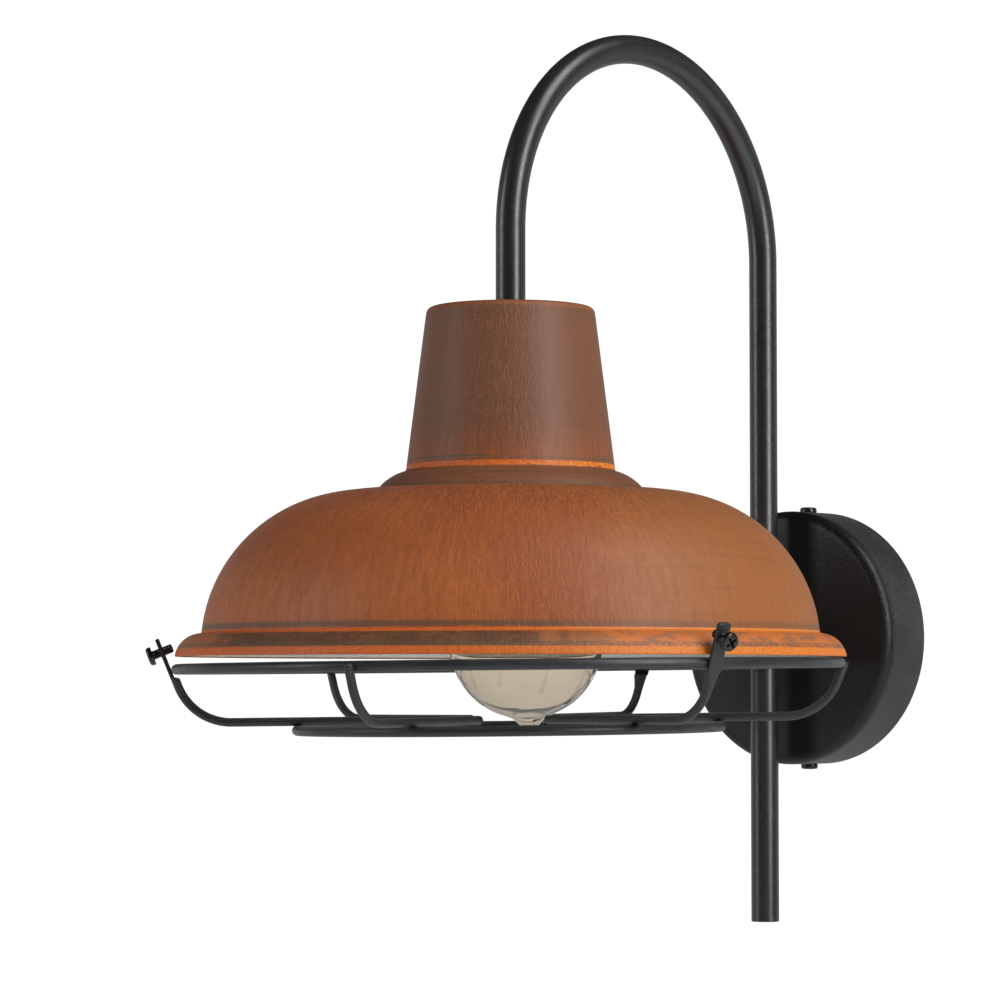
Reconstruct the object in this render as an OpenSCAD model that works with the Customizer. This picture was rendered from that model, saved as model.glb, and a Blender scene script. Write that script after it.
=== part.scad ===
// Cage wall light: a bent tube arm on a round canopy carries a spun shade,
// a lamp holder with its bulb, and a wire cage that three screws clamp to the rim.
// Millimetres. The origin is the middle of the canopy on the wall; the wall is
// the plane Y = 0, the light reaches towards -Y and +Z is up.

/* [Canopy] */
// Outer diameter of the canopy
canopy_d = 120; // [100:1:150]
// Depth of the canopy from the wall to its face
canopy_h = 30; // [28:0.5:40]
// Sheet thickness of the canopy
canopy_wall = 1.2; // [0.8:0.1:2]
// Radius of the canopy's rounded front edge
canopy_edge_r = 5; // [2.5:0.5:8]
// Distance of the two side screws from the wall
side_screw_out = 10; // [8:0.5:12]
// Thread diameter of the two side screws
side_screw_d = 4; // [3:0.5:5]
// Length of the side screws under the head
side_screw_l = 8; // [6:0.5:12]

/* [Wall bracket] */
// Width of the bracket strip
bracket_w = 20; // [18:0.5:26]
// Thickness of the bracket strip
bracket_t = 1.5; // [1.2:0.1:2.5]
// Width of the bent ends that the side screws enter
tab_w = 12; // [10:0.5:16]
// Depth of the bent ends from the wall
tab_depth = 16; // [15:0.5:20]
// Spacing of the two wall screw holes
wall_hole_pitch = 76; // [70:1:86]
// Diameter of the wall screw holes
wall_hole_d = 5; // [4:0.1:6.5]
// Diameter of the hole for the house cable
cable_hole_d = 12; // [8:0.5:14]
// Thread diameter of the earth screw
earth_screw_d = 4; // [3:0.5:5]
// Height of the earth screw above the middle
earth_up = 22; // [19:0.5:26]

/* [Terminal block] */
// Spacing of the three poles
pole_pitch = 8; // [7.5:0.1:10]
// Width of the block beyond the outer poles, on each side
block_side = 5; // [4.5:0.1:7]
// Height of the block
block_h = 13; // [11:0.5:16]
// Depth of the block
block_depth = 12; // [11:0.5:14]
// Distance of the block's middle below the canopy's middle
block_down = 22; // [20:0.5:24]

/* [Arm] */
// Outer diameter of the arm tube
tube_d = 13; // [12:0.5:18]
// Wall thickness of the arm tube
tube_wall = 1.5; // [1:0.1:2]
// Radius of the arch, to the middle of the tube
bend_r = 90; // [80:1:130]
// Height of the arch's centre above the canopy's middle
bend_up = 176; // [165:1:240]
// Length of the wall leg below the canopy's middle
tail_l = 133; // [80:1:200]
// Straight length of the front leg, from the arch to the shade
front_leg = 34.4; // [20:0.1:38]
// Gap between the canopy's face and the tube
arm_gap = 8.5; // [5:0.5:20]
// Diameter of the spacer collar between canopy and tube
collar_d = 18; // [14:0.5:24]
// Hexagon of the two lamp nuts, across flats
nut_af = 14; // [13:0.5:18]
// Height of the two lamp nuts
nut_h = 4; // [3:0.5:6]
// Length of the plug in the tube's open end
plug_l = 8; // [5:0.5:15]

/* [Shade] */
// Height of the shade, from its flat top to the rim
shade_h = 151.9; // [150:0.1:158]
// Diameter over the rim
rim_d = 290; // [288:1:330]
// Sheet thickness of the shade
shade_wall = 1.2; // [0.8:0.1:1.8]
// Height of the tapered neck
neck_h = 71.5; // [64:0.1:72]
// Diameter of the neck at its top, before rounding
neck_top_d = 72.9; // [66:0.1:78]
// Diameter of the neck at its foot
neck_base_d = 91; // [86:0.5:96]
// Radius of the neck's rounded top edge
neck_edge_r = 3; // [2.5:0.5:8]
// Diameter of the rounded shoulder where it meets the dome
shoulder_d = 117.2; // [112:0.1:124]
// Radius of the shoulder's round
shoulder_r = 22; // [14:0.5:30]
// Depth of the dome's top below the shade's top
dome_down = 80.4; // [78:0.1:84]
// How far the dome's side lies inside the rim's edge
dome_inset = 11.2; // [9:0.1:14]
// Radius of the dome's rounded side
dome_r = 67.4; // [60:0.1:70]
// Radius of the bead round the rim
bead_r = 11.6; // [10.5:0.1:12.5]
// Distance from the rim's edge to the middle of the bead's round
bead_cut = 1.5; // [0.5:0.1:3]

/* [Lamp holder] */
// Outer diameter of the holder
holder_d = 40; // [38:0.5:46]
// Length of the holder
holder_l = 57; // [56:0.5:62]
// Length of the thread in the holder's collar
collar_l = 9; // [7:0.5:12]
// How far the holder hangs out of plumb, in degrees
holder_lean = 2.8; // [0:0.1:4]
// Direction that the holder leans towards, in degrees from +X
lean_heading = 42; // [0:1:359]

/* [Bulb] */
// Diameter of the bulb
bulb_d = 66.5; // [60:0.5:72]
// Length of the bulb from its contact to its tip
bulb_l = 139.5; // [134:0.5:143]
// Length of the glass tip below the round of the bulb
tip_l = 4; // [3:0.1:6]
// Radius of the end of the glass tip
tip_r = 6.9; // [5:0.1:8]
// Angle about the bulb's middle within which its round runs into the tip
tip_blend = 20; // [16:1:24]
// Thickness of the glass
glass_wall = 0.8; // [0.5:0.1:1.5]
// Diameter over the bulb's screw thread
cap_d = 26.4; // [26:0.1:27]

/* [Cage] */
// Diameter of the wire of the two rings
ring_wire = 4.5; // [3:0.1:6]
// Diameter of the wire of the six ribs
rib_wire = 3.8; // [3:0.1:5]
// How far the upper ring's wire lies inside the rim's radius
ring_inset = 1.9; // [1:0.1:3]
// Depth from the upper ring to the flat of the ribs
cage_depth = 23; // [20:0.5:40]
// Diameter of the lower ring, to the middle of its wire
lower_ring_d = 183; // [120:1:200]
// Distance of the ribs' inner ends from the middle
rib_end_r = 29; // [20:0.5:40]
// Bend radius of the ribs
rib_bend_r = 24.5; // [18:0.5:26]
// How far the clips lean outwards from upright, in degrees
clip_lean = 21.5; // [15:0.5:25]
// Height of the first clip above the upper ring
clip_up = 13.4; // [12:0.1:16]
// How much higher the other two clips, and their screws, reach
clip_rise = 2.6; // [0:0.1:3]
// Width of the flattened clips
clip_w = 6.5; // [5.5:0.1:8]
// Thickness of the flattened clips
clip_t = 1.8; // [1.4:0.1:2.4]
// Height of the first clip's screw above the upper ring
clamp_up = 7.5; // [6.5:0.1:8]
// Thread diameter of the clamp screws
clamp_screw_d = 4; // [3:0.1:4.5]
// Length of the clamp screws under the head
clamp_screw_l = 9; // [8.5:0.5:14]
// How much lower the cage hangs at its first clip than at the far side
cage_sag = 3; // [0:0.1:4]
// Direction of the first clip, in degrees from +X
clip_heading = -134; // [-180:1:180]
// How far the cage sits off the shade's axis, towards its first clip
cage_off = 1; // [0:0.1:1.5]

/* [Wires] */
// Outer diameter of each insulated core
core_d = 2.2; // [1.6:0.1:2.6]
// Distance between the two cores in the arm
core_pitch = 2.6; // [2.6:0.1:3]
// Bend radius of the cores where they turn
core_bend_r = 5; // [4:0.1:6]

/* [Clearances] */
// Radial gap of a thread or a brazed fit
thread_gap = 0.05; // [0.02:0.01:0.1]
// Radial gap of a bolt in a plain hole
hole_gap = 0.2; // [0.1:0.05:0.4]
// Gap where two separate pieces meet without touching
seat_gap = 0.3; // [0.2:0.05:0.5]
// Gap between the clamp screws' tips and the widest part of the rim
tip_gap = 0.1; // [0.05:0.05:0.3]
// Depth to which welded wires sink into each other
weld_sink = 0.3; // [0.1:0.1:0.8]

/* [Hidden] */
$fn = 96;

// Arm and canopy
canopy_r = canopy_d / 2;
arm_y = -(canopy_h + arm_gap + tube_d / 2);
lamp_y = arm_y - 2 * bend_r;
tube_bore = tube_d - 2 * tube_wall;
nipple_d = tube_bore - 2 * thread_gap;
nipple_wall = 1.5;
nipple_bore = nipple_d - 2 * nipple_wall;
bolt_hole_d = nipple_d + 2 * hole_gap;
nut_bore = nipple_d + 2 * thread_gap;
washer_t = 1.5;
washer_share = 1.6;
washer_d = nut_af * washer_share;
stub_end = 3;
stub_washer_y = -(canopy_h - canopy_wall);
stub_nut_y = stub_washer_y + washer_t;
stub_y = stub_nut_y + nut_h + stub_end;

// Pan head screws, as shares of the thread: head width and height, the slots
// of the cross recess, the tip's bevel
head_share = 2;
head_h_share = 0.62;
recess_share = 0.32;
tip_share = 0.12;
// The head's rounded edge and the recess's floor, as shares of the head's height
edge_share = 0.48;
recess_floor_share = 0.35;
// Length of the slots, as a share of the head's width
recess_l_share = 0.6;

// Size of the balls that join rods at a corner and at the end of a bend, as
// shares of the rod
knee_share = 1.08;
bend_share = 1.02;

// Bracket: how far up its ends and its strip reach inside the canopy
tab_z = inside_canopy(tab_w);
strip_z = inside_canopy(bracket_w);
function inside_canopy(width) =
    sqrt(pow(canopy_r - canopy_wall, 2) - pow(width / 2, 2)) - seat_gap;

// Earth lug and lead
lug_t = 0.8;
lug_ring_d = 2.2 * earth_screw_d;
lug_tongue = 1.2;
crimp_wall = 0.6;
crimp_l = 3;
crimp_in = 0.5;
lead_end_l = 4.5;
lead_corner = 4;
lead_slant = 2;
lead_fall = 6;

// Terminal block
block_w = 2 * (pole_pitch + block_side);
block_top = -block_down + block_h / 2;
barrel_d = 5.4;
barrel_bore = core_d + 0.8;
barrel_screw_d = 2.8;
barrel_screw_l = 3.7;
pole_y = -bracket_t - block_depth / 2;
wire_in = 3;
core_out = 3;
core_below = 1;
screw_rows = [0.27, 0.73];
screw_hole_share = 1.35;
groove_w = 1.2;
groove_h = 2;
barrel_in = 0.5;
barrel_slot_w = 0.6;
barrel_slot_h = 0.6;

// Shade levels, down from its top
shade_z = bend_up - front_leg;
rim_z = shade_z - shade_h;
neck_slope = atan((neck_base_d - neck_top_d) / 2 / neck_h);
neck_edge_x = neck_top_d / 2 + neck_edge_r * tan(neck_slope) - neck_edge_r / cos(neck_slope);
shoulder_out = (shoulder_d - neck_base_d) / 2;
shoulder_down = dome_down - neck_h;
shoulder_chord = norm([shoulder_out, shoulder_down]);
shoulder_lift = sqrt(pow(shoulder_r, 2) - pow(shoulder_chord / 2, 2)) / shoulder_chord;
shoulder_x = neck_base_d / 2 + shoulder_out / 2 - shoulder_lift * shoulder_down;
shoulder_z = -neck_h - shoulder_down / 2 - shoulder_lift * shoulder_out;
dome_side = rim_d / 2 - dome_inset;
dome_x = dome_side - dome_r;
dome_z = -dome_down - dome_r;
bead_x = rim_d / 2 - sqrt(bead_r * bead_r - bead_cut * bead_cut);
bead_z = -shade_h - bead_cut;

// Nipple, washer and nut under the shade's top
top_washer_z = shade_z - shade_wall - washer_t;
top_nut_z = top_washer_z - nut_h;
nipple_in_tube = 12;
collar_wall = 3.5;
collar_r = nipple_d / 2 + collar_wall;
lean_slack = collar_l / 2 * tan(holder_lean);
hang_z = top_nut_z - seat_gap - (collar_r + collar_l) * sin(holder_lean) - collar_l / 2;
nipple_low_z = hang_z - collar_l / 2 + 0.5;

// Lamp holder, measured down from its hanging point in the collar's middle
cap_low = 24;
holder_low = holder_l - collar_l / 2;
holder_wall = 2;
insert_top = 17;
insert_low = 26;
thread_wall = 0.5;
contact_t = 0.8;
lip_out = 1;
lip_h = 4;
thread_up = 1.5;
tongue_w = 5;
tongue_room = 2;
rivet_d = 3.6;
rivet_l = 5;
pin_d = 2.4;
pin_l = 2.7;
terminal_x = 8;
terminal_h = 3.5;
terminal_w = 5;

// Bulb, measured down from its contact
bulb_r = bulb_d / 2;
bulb_seat = 31;
bulb_mid = bulb_l - tip_l - bulb_r;
cap_l = 27;
roll_r = 1;
roll_down = 1.4;
cap_root_r = cap_d / 2 - roll_r;
cap_wall = 0.4;
thread_pitch = 3.62;
thread_turns = 5;
contact_r = 4.8;
contact_h = 1.6;
contact_dome_r = 1.4 * contact_r;
insulator_h = 4;
insulator_foot_r = contact_r + 0.6;
foot_in = 6;
foot_t = 1;
stem_top = cap_l - foot_in;
neck_glass_r = cap_root_r - cap_wall - seat_gap;
bulb_neck_r = 15.5;
bulb_neck_down = 34;
stem_r = 4;
stem_low_r = 2.4;
stem_l = 26;
post_r = 1.6;
filament_top = 62;
filament_low = 92;
filament_top_r = 9;
filament_low_r = 13;
filament_strands = 6;
filament_d = 0.5;
support_d = 0.6;
lead_foot_r = 5.5;
lead_hook_r = 8;
hook_up = 0.5;
button_r = 2.5;
thread_r = cap_d / 2 + seat_gap;

// Cage, measured from the middle of its upper ring
ring_r = rim_d / 2 - ring_inset;
ring_z = rim_z - seat_gap / 2 - cage_sag / 2 - ring_wire / 2;
sag_angle = asin(cage_sag / (2 * ring_r));
lower_ring_z = -cage_depth - (rib_wire + ring_wire) / 2 + weld_sink;
clip_face = ring_wire / 2 - weld_sink / 2;
clip_rod_off = clip_face + clip_t - rib_wire / 2;
plain_rod_off = (ring_wire + rib_wire) / 2 - 2 * weld_sink;
rod_end_down = ring_wire / 2 + 1;
plain_end_up = 0.5;
clip_taper = 5;
clip_mid_off = clip_face + clip_t / 2;
clamp_tip_r = clamp_screw_d * (0.5 - tip_share);

// Heights above the upper ring of a clip's end and of its screw
function clip_top(heading) = clip_up + (heading > 0 ? clip_rise : 0);
function clamp_top(heading) = clamp_up + (heading > 0 ? clip_rise : 0);

// Distance up the clip, from the foot of the ring's normal, at a given height
function along_clip(up, off) = (up + off * sin(clip_lean)) / cos(clip_lean);

// Distance from the cage's middle to where a clamp screw crosses its clip, and
// from the shade's axis to there
function clamp_x(heading) = ring_r + clip_mid_off * cos(clip_lean)
    + along_clip(clamp_top(heading), clip_mid_off) * sin(clip_lean);
function clamp_r(heading) = clamp_x(heading) + cage_off * cos(heading);

// A screw's length inside its clip's middle, to just outside the rim
function clamp_in(heading) =
    (clamp_r(heading) - rim_d / 2 - tip_gap) / cos(clip_lean) - clamp_tip_r * tan(clip_lean);

// ---- shared shapes ----

// A flat ring, or a tube when it is tall, standing on z = 0
module ring_plate(outer_d, inner_d, height) {
    linear_extrude(height) difference() {
        circle(d = outer_d);
        circle(d = inner_d);
    }
}

// A hexagon nut with chamfered corners, standing on z = 0
module hex_nut(across, bore, height) {
    corner_r = across / cos(30) / 2;
    face_r = across / 2 * 0.98;
    chamfer = (corner_r - face_r) * 0.6;
    difference() {
        intersection() {
            translate([0, 0, -1]) cylinder(r = corner_r, h = height + 2, $fn = 6);
            rotate_extrude() polygon([[0, 0], [face_r, 0], [corner_r + 0.1, chamfer],
                                      [corner_r + 0.1, height - chamfer], [face_r, height],
                                      [0, height]]);
        }
        translate([0, 0, -1]) cylinder(d = bore, h = height + 2);
    }
}

// A cross-head pan screw: the head's seat is z = 0 and the shank runs down -Z
module pan_screw(thread, length) {
    head_r = thread * head_share / 2;
    head_h = thread * head_h_share;
    edge = head_h * edge_share;
    slot = thread * recess_share;
    slot_l = 2 * head_r * recess_l_share;
    difference() {
        rotate_extrude() {
            square([head_r - edge, head_h]);
            square([head_r, head_h - edge]);
            translate([head_r - edge, head_h - edge]) circle(edge);
        }
        for (turn = [0, 90]) rotate(turn)
            translate([-slot_l / 2, -slot / 2, head_h * recess_floor_share])
                cube([slot_l, slot, head_h]);
    }
    tip = thread * tip_share;
    translate([0, 0, -length + tip]) cylinder(d = thread, h = length - tip);
    translate([0, 0, -length]) cylinder(d1 = thread - 2 * tip, d2 = thread, h = tip);
}

// A round rod between two points
module rod_between(from, to, d) {
    along = to - from;
    length = norm(along);
    lean = acos(along[2] / length);
    heading = atan2(along[1], along[0]);
    translate(from) rotate([0, lean, heading]) cylinder(d = d, h = length);
}

// The ball that joins two rods at a corner, a little thicker than they are
module knee(at, d) {
    translate(at) sphere(d = d * knee_share);
}

// The flat profile given as a child, swept up the wall leg, over the arch and
// down the front leg of the arm
module along_arm(low, front_low, aside = 0) {
    translate([aside, arm_y, low]) linear_extrude(bend_up - low) children();
    translate([aside, arm_y - bend_r, bend_up]) rotate([90, 0, 90])
        rotate_extrude(angle = 180) translate([bend_r, 0]) children();
    translate([aside, lamp_y, front_low]) linear_extrude(bend_up - front_low) children();
}

// The lamp holder's frame: its origin is the hanging point in the collar
module hang() {
    translate([0, lamp_y, hang_z]) rotate([0, 0, lean_heading])
        rotate([0, -holder_lean, 0]) rotate([0, 0, -lean_heading]) children();
}

// The bulb's frame: its origin is the bulb's contact and the bulb hangs down
module bulb_frame() {
    hang() translate([0, 0, -bulb_seat]) children();
}

// The cage's frame: +X points to the first clip
module cage_frame() {
    translate([0, lamp_y, ring_z]) rotate([0, 0, clip_heading])
        translate([cage_off, 0, 0]) rotate([0, sag_angle, 0]) children();
}

// ---- on the wall ----

// Steel strip on the wall with two bent ends that take the side screws
module wall_bracket() {
    color("silver") difference() {
        union() {
            translate([-bracket_w / 2, -bracket_t, -strip_z])
                cube([bracket_w, bracket_t, 2 * strip_z]);
            for (side = [0, 1]) mirror([0, 0, side])
                translate([-tab_w / 2, -tab_depth, tab_z - bracket_t])
                    cube([tab_w, tab_depth, bracket_t]);
        }
        for (side = [-1, 1]) translate([0, 1, side * wall_hole_pitch / 2])
            rotate([90, 0, 0]) cylinder(d = wall_hole_d, h = bracket_t + 2);
        translate([0, 1, 0]) rotate([90, 0, 0]) cylinder(d = cable_hole_d, h = bracket_t + 2);
        translate([0, 1, earth_up]) rotate([90, 0, 0])
            cylinder(d = earth_screw_d + 2 * thread_gap, h = bracket_t + 2);
        translate([0, -side_screw_out, -canopy_r])
            cylinder(d = side_screw_d + 2 * thread_gap, h = canopy_d);
    }
}

// Screw that clamps the earth lug to the bracket
module earth_screw() {
    color("goldenrod") translate([0, -bracket_t - lug_t, earth_up]) rotate([90, 0, 0])
        pan_screw(earth_screw_d, lug_t + bracket_t);
}

// Ring lug under the earth screw, with its crimped barrel
module earth_lug() {
    color("silver") translate([0, -bracket_t, earth_up]) rotate([90, 0, 0]) {
        difference() {
            union() {
                cylinder(d = lug_ring_d, h = lug_t);
                translate([0, -core_d / 2, 0]) cube([lug_reach(), core_d, lug_t]);
            }
            translate([0, 0, -1])
                cylinder(d = earth_screw_d + 2 * hole_gap, h = lug_t + 2);
        }
        translate([lug_reach() - crimp_in, 0, lug_t + core_d / 2]) rotate([0, 90, 0])
            ring_plate(core_d + 2 * crimp_wall, core_d + 2 * thread_gap, crimp_l);
    }
}
function lug_reach() = lug_ring_d / 2 + lug_tongue;

// Earth lead from the terminal block up to the lug
module earth_lead() {
    lead_y = -bracket_t - lug_t - core_d / 2;
    rise = [pole_pitch, pole_y, block_top + core_out];
    turn = [lug_reach() + lead_corner + lead_slant, lead_y, earth_up - lead_fall];
    level = [lug_reach() + lead_corner, lead_y, earth_up];
    color("yellowgreen") {
        translate([pole_pitch, pole_y, block_top - wire_in])
            cylinder(d = core_d, h = wire_in + core_out);
        knee(rise, core_d);
        rod_between(rise, turn, core_d);
        knee(turn, core_d);
        rod_between(turn, level, core_d);
        knee(level, core_d);
        translate([lug_reach() - crimp_in, lead_y, earth_up]) rotate([0, 90, 0])
            cylinder(d = core_d, h = lead_end_l);
    }
}

// Three-pole terminal block moulded in nylon
module terminal_block() {
    color("whitesmoke") difference() {
        translate([-block_w / 2, -bracket_t - block_depth, block_top - block_h])
            cube([block_w, block_depth, block_h]);
        for (pole = [-1, 0, 1]) translate([pole * pole_pitch, pole_y, block_top - block_h - 1]) {
            cylinder(d = barrel_d + 2 * thread_gap, h = block_h + 2);
            for (row = screw_rows) translate([0, 0, 1 + row * block_h])
                rotate([90, 0, 0]) cylinder(d = barrel_screw_d * screw_hole_share, h = block_depth);
        }
        for (gap = [-0.5, 0.5])
            translate([gap * pole_pitch - groove_w / 2, -bracket_t - block_depth - 1,
                       block_top - groove_h])
                cube([groove_w, 1 + groove_w + groove_h, groove_h + 1]);
    }
}

// Brass barrels that the cores are clamped in
module terminal_barrels() {
    color("goldenrod") for (pole = [-1, 0, 1])
        translate([pole * pole_pitch, pole_y, block_top - block_h + barrel_in]) difference() {
            cylinder(d = barrel_d, h = block_h - 2 * barrel_in);
            translate([0, 0, -1]) cylinder(d = barrel_bore, h = block_h + 1);
            for (row = screw_rows) translate([0, 0, row * block_h - barrel_in])
                rotate([90, 0, 0]) cylinder(d = barrel_screw_d + 2 * thread_gap, h = barrel_d);
        }
}

// Slotted screws of the terminal block
module terminal_screws() {
    color("silver") for (pole = [-1, 0, 1]) for (row = screw_rows)
        translate([pole * pole_pitch, pole_y - core_d / 2 - 2 * thread_gap,
                   block_top - block_h + row * block_h])
            rotate([90, 0, 0]) difference() {
                cylinder(d = barrel_screw_d, h = barrel_screw_l);
                translate([-barrel_screw_d, -barrel_slot_w / 2, barrel_screw_l - barrel_slot_h])
                    cube([2 * barrel_screw_d, barrel_slot_w, barrel_slot_h + 1]);
            }
}

// Pressed steel cup over the bracket
module canopy() {
    color([0.13, 0.13, 0.14]) difference() {
        rotate([90, 0, 0]) rotate_extrude() difference() {
            canopy_profile(0);
            canopy_profile(canopy_wall);
        }
        rotate([90, 0, 0]) cylinder(d = bolt_hole_d, h = canopy_h + 1);
        translate([0, -side_screw_out, -canopy_r - 1])
            cylinder(d = side_screw_d + 2 * hole_gap, h = canopy_d + 2);
    }
}

// Half section of the canopy, or of its hollow when set in by a wall
module canopy_profile(inset) {
    base = inset > 0 ? 1 : 0;
    translate([0, -base]) square([canopy_r - inset, canopy_h - canopy_edge_r + base]);
    square([canopy_r - canopy_edge_r, canopy_h - inset]);
    translate([canopy_r - canopy_edge_r, canopy_h - canopy_edge_r]) circle(canopy_edge_r - inset);
}

// Two pan head screws through the canopy's side into the bracket
module canopy_screws() {
    color([0.1, 0.1, 0.11]) for (side = [0, 1]) mirror([0, 0, side])
        translate([0, -side_screw_out, canopy_r]) pan_screw(side_screw_d, side_screw_l);
}

// ---- arm ----

// Hollow threaded stub brazed square to the wall leg
module arm_stub() {
    color("silver") difference() {
        translate([0, stub_y, 0]) rotate([90, 0, 0]) cylinder(d = nipple_d, h = stub_y - arm_y);
        translate([0, stub_y + 1, 0]) rotate([90, 0, 0])
            cylinder(d = nipple_bore, h = stub_y - arm_y + 2);
        translate([0, arm_y, -tube_d]) cylinder(d = tube_d, h = 2 * tube_d);
    }
}

// Spacer with a saddle end that holds the tube off the canopy
module arm_collar() {
    color([0.12, 0.12, 0.13]) difference() {
        translate([0, -canopy_h, 0]) rotate([90, 0, 0]) cylinder(d = collar_d, h = -canopy_h - arm_y);
        translate([0, -canopy_h + 1, 0]) rotate([90, 0, 0])
            cylinder(d = bolt_hole_d, h = 2 - canopy_h - arm_y);
        translate([0, arm_y, -collar_d]) cylinder(d = tube_d, h = 2 * collar_d);
    }
}

// Washer on the stub inside the canopy
module stub_washer() {
    color("silver") translate([0, stub_nut_y, 0]) rotate([90, 0, 0])
        ring_plate(washer_d, bolt_hole_d, washer_t);
}

// Nut on the stub inside the canopy
module stub_nut() {
    color("silver") translate([0, stub_nut_y + nut_h, 0]) rotate([90, 0, 0])
        hex_nut(nut_af, nut_bore, nut_h);
}

// One steel tube, bent over in a half circle, with its tail below the canopy
module gooseneck_tube() {
    color([0.12, 0.12, 0.13]) difference() {
        along_arm(-tail_l, shade_z) difference() {
            circle(d = tube_d);
            circle(d = tube_bore);
        }
        translate([0, arm_y + tube_d, 0]) rotate([90, 0, 0]) cylinder(d = nipple_bore, h = tube_d);
    }
}

// Plastic plug in the open lower end of the tube
module tube_end_plug() {
    color([0.08, 0.08, 0.08]) translate([0, arm_y, -tail_l]) {
        cylinder(d = tube_bore - 2 * thread_gap, h = plug_l);
    }
}

// One insulated core: from the terminal block through the stub, up the wall
// leg, over the arch and down to the holder. side is -1 or 1.
module core(side, pole, tint) {
    aside = side * core_pitch / 2;
    end_z = hang_z - collar_l / 2 - core_below;
    drop = [aside, pole_y, -core_bend_r];
    entry = [pole * pole_pitch, pole_y, block_top + core_out];
    color(tint) {
        translate([pole * pole_pitch, pole_y, block_top - wire_in])
            cylinder(d = core_d, h = wire_in + core_out);
        knee(entry, core_d);
        rod_between(entry, drop, core_d);
        knee(drop, core_d);
        translate([aside, pole_y - core_bend_r, -core_bend_r]) rotate([90, 0, 90])
            rotate_extrude(angle = 90) translate([core_bend_r, 0]) circle(d = core_d);
        translate([aside, pole_y - core_bend_r, 0]) rotate([90, 0, 0])
            cylinder(d = core_d, h = pole_y - 2 * core_bend_r - arm_y);
        translate([aside, arm_y + core_bend_r, core_bend_r]) rotate([90, 0, 90])
            rotate_extrude(angle = 90, start = 180) translate([core_bend_r, 0]) circle(d = core_d);
        along_arm(core_bend_r, end_z, aside) circle(d = core_d);
        knee([aside, lamp_y, end_z], core_d);
        hang() rod_between([aside, 0, end_z - hang_z],
                           [side * terminal_x, 0, -insert_top + terminal_h + core_d / 2 + seat_gap], core_d);
    }
}

module live_core() core(-1, -1, "saddlebrown");
module neutral_core() core(1, 0, "steelblue");

// ---- shade and what holds it ----

// Hollow threaded nipple that joins tube, shade and lamp holder
module top_nipple() {
    color("silver") translate([0, lamp_y, nipple_low_z])
        ring_plate(nipple_d, nipple_bore, shade_z + nipple_in_tube - nipple_low_z);
}

// Washer under the shade's flat top
module top_washer() {
    color("silver") translate([0, lamp_y, top_washer_z]) ring_plate(washer_d, bolt_hole_d, washer_t);
}

// Nut under the washer
module top_nut() {
    color("silver") translate([0, lamp_y, top_nut_z]) hex_nut(nut_af, nut_bore, nut_h);
}

// Spun steel shade: neck, shoulder, dome and beaded rim in one sheet
module shade() {
    color([0.55, 0.27, 0.14]) translate([0, lamp_y, shade_z]) difference() {
        rotate_extrude() difference() {
            intersection() {
                shade_profile(0);
                translate([0, -shade_h]) square([rim_d, shade_h]);
            }
            shade_profile(shade_wall);
        }
        translate([0, 0, -shade_wall - 1]) cylinder(d = bolt_hole_d, h = shade_wall + 2);
    }
}

// Half section under the shade's skin, or under its lining when set in
module shade_profile(inset) {
    neck_r = neck_edge_r - inset;
    foot_down = -shoulder_z;
    foot_x = neck_base_d / 2 - inset / cos(neck_slope) + (foot_down - neck_h) * tan(neck_slope);
    // neck with its rounded top edge
    translate([neck_edge_x, -neck_edge_r]) circle(neck_r);
    polygon([[0, -inset], [0, -foot_down], [foot_x, -foot_down],
             [neck_edge_x + neck_r * cos(neck_slope), -neck_edge_r + neck_r * sin(neck_slope)],
             [neck_edge_x, -inset]]);
    // shoulder
    translate([shoulder_x, shoulder_z]) circle(shoulder_r - inset);
    // dome
    square_down(dome_x, -dome_down - inset, dome_r);
    translate([dome_x, dome_z]) circle(dome_r - inset);
    square_down(dome_side - inset, dome_z, shade_h + dome_z + bead_cut);
    // bead
    translate([bead_x, bead_z]) circle(bead_r - inset);
}

// A rectangle from the axis out to x, hanging down from a level
module square_down(x, level, depth) {
    translate([0, level - depth]) square([x, depth]);
}

// ---- lamp holder ----

// Phenolic cap with the threaded collar
module holder_cap() {
    collar_bore_r = nipple_d / 2 + thread_gap + lean_slack;
    color([0.1, 0.1, 0.1]) hang() rotate_extrude() difference() {
        polygon([[0, collar_l / 2], [0, -cap_low], [holder_d / 2, -cap_low],
                 [holder_d / 2, -insert_top], [holder_d / 2 - 1, -insert_top + 2],
                 [collar_r, -collar_l / 2], [collar_r, collar_l / 2]]);
        square_down(collar_bore_r, collar_l / 2 + 1, collar_l + 4);
        polygon([[0, -collar_l / 2 - holder_wall], [0, -cap_low - 1],
                 [holder_d / 2 - holder_wall, -cap_low - 1],
                 [holder_d / 2 - holder_wall, -insert_top + 0.5],
                 [holder_d / 2 - 2 * holder_wall, -insert_top + 2],
                 [collar_r - 1, -collar_l / 2 - holder_wall]]);
    }
}

// Phenolic skirt round the thread shell
module holder_shell() {
    color([0.1, 0.1, 0.1]) hang() rotate_extrude() difference() {
        union() {
            square_down(holder_d / 2, -cap_low, holder_low - cap_low);
            square_down(holder_d / 2 + lip_out, -holder_low + lip_h, lip_h);
        }
        square_down(thread_r + thread_wall + seat_gap, -insert_low, holder_l);
        square_down(holder_d / 2 - holder_wall, -cap_low + 1, insert_low - cap_low + 1 + seat_gap);
    }
}

// Ceramic disc that carries the contacts
module holder_insert() {
    color("white") hang() translate([0, 0, -insert_low]) difference() {
        cylinder(d = holder_d - 2 * holder_wall - 2 * seat_gap, h = insert_low - insert_top);
        translate([0, 0, -1]) cylinder(d = rivet_d + 2 * hole_gap, h = insert_low);
        for (side = [-1, 1])
            translate([side * terminal_x, 0, insert_low - insert_top - pin_l - seat_gap])
                cylinder(d = pin_d + 2 * hole_gap, h = pin_l + 1);
    }
}

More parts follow.
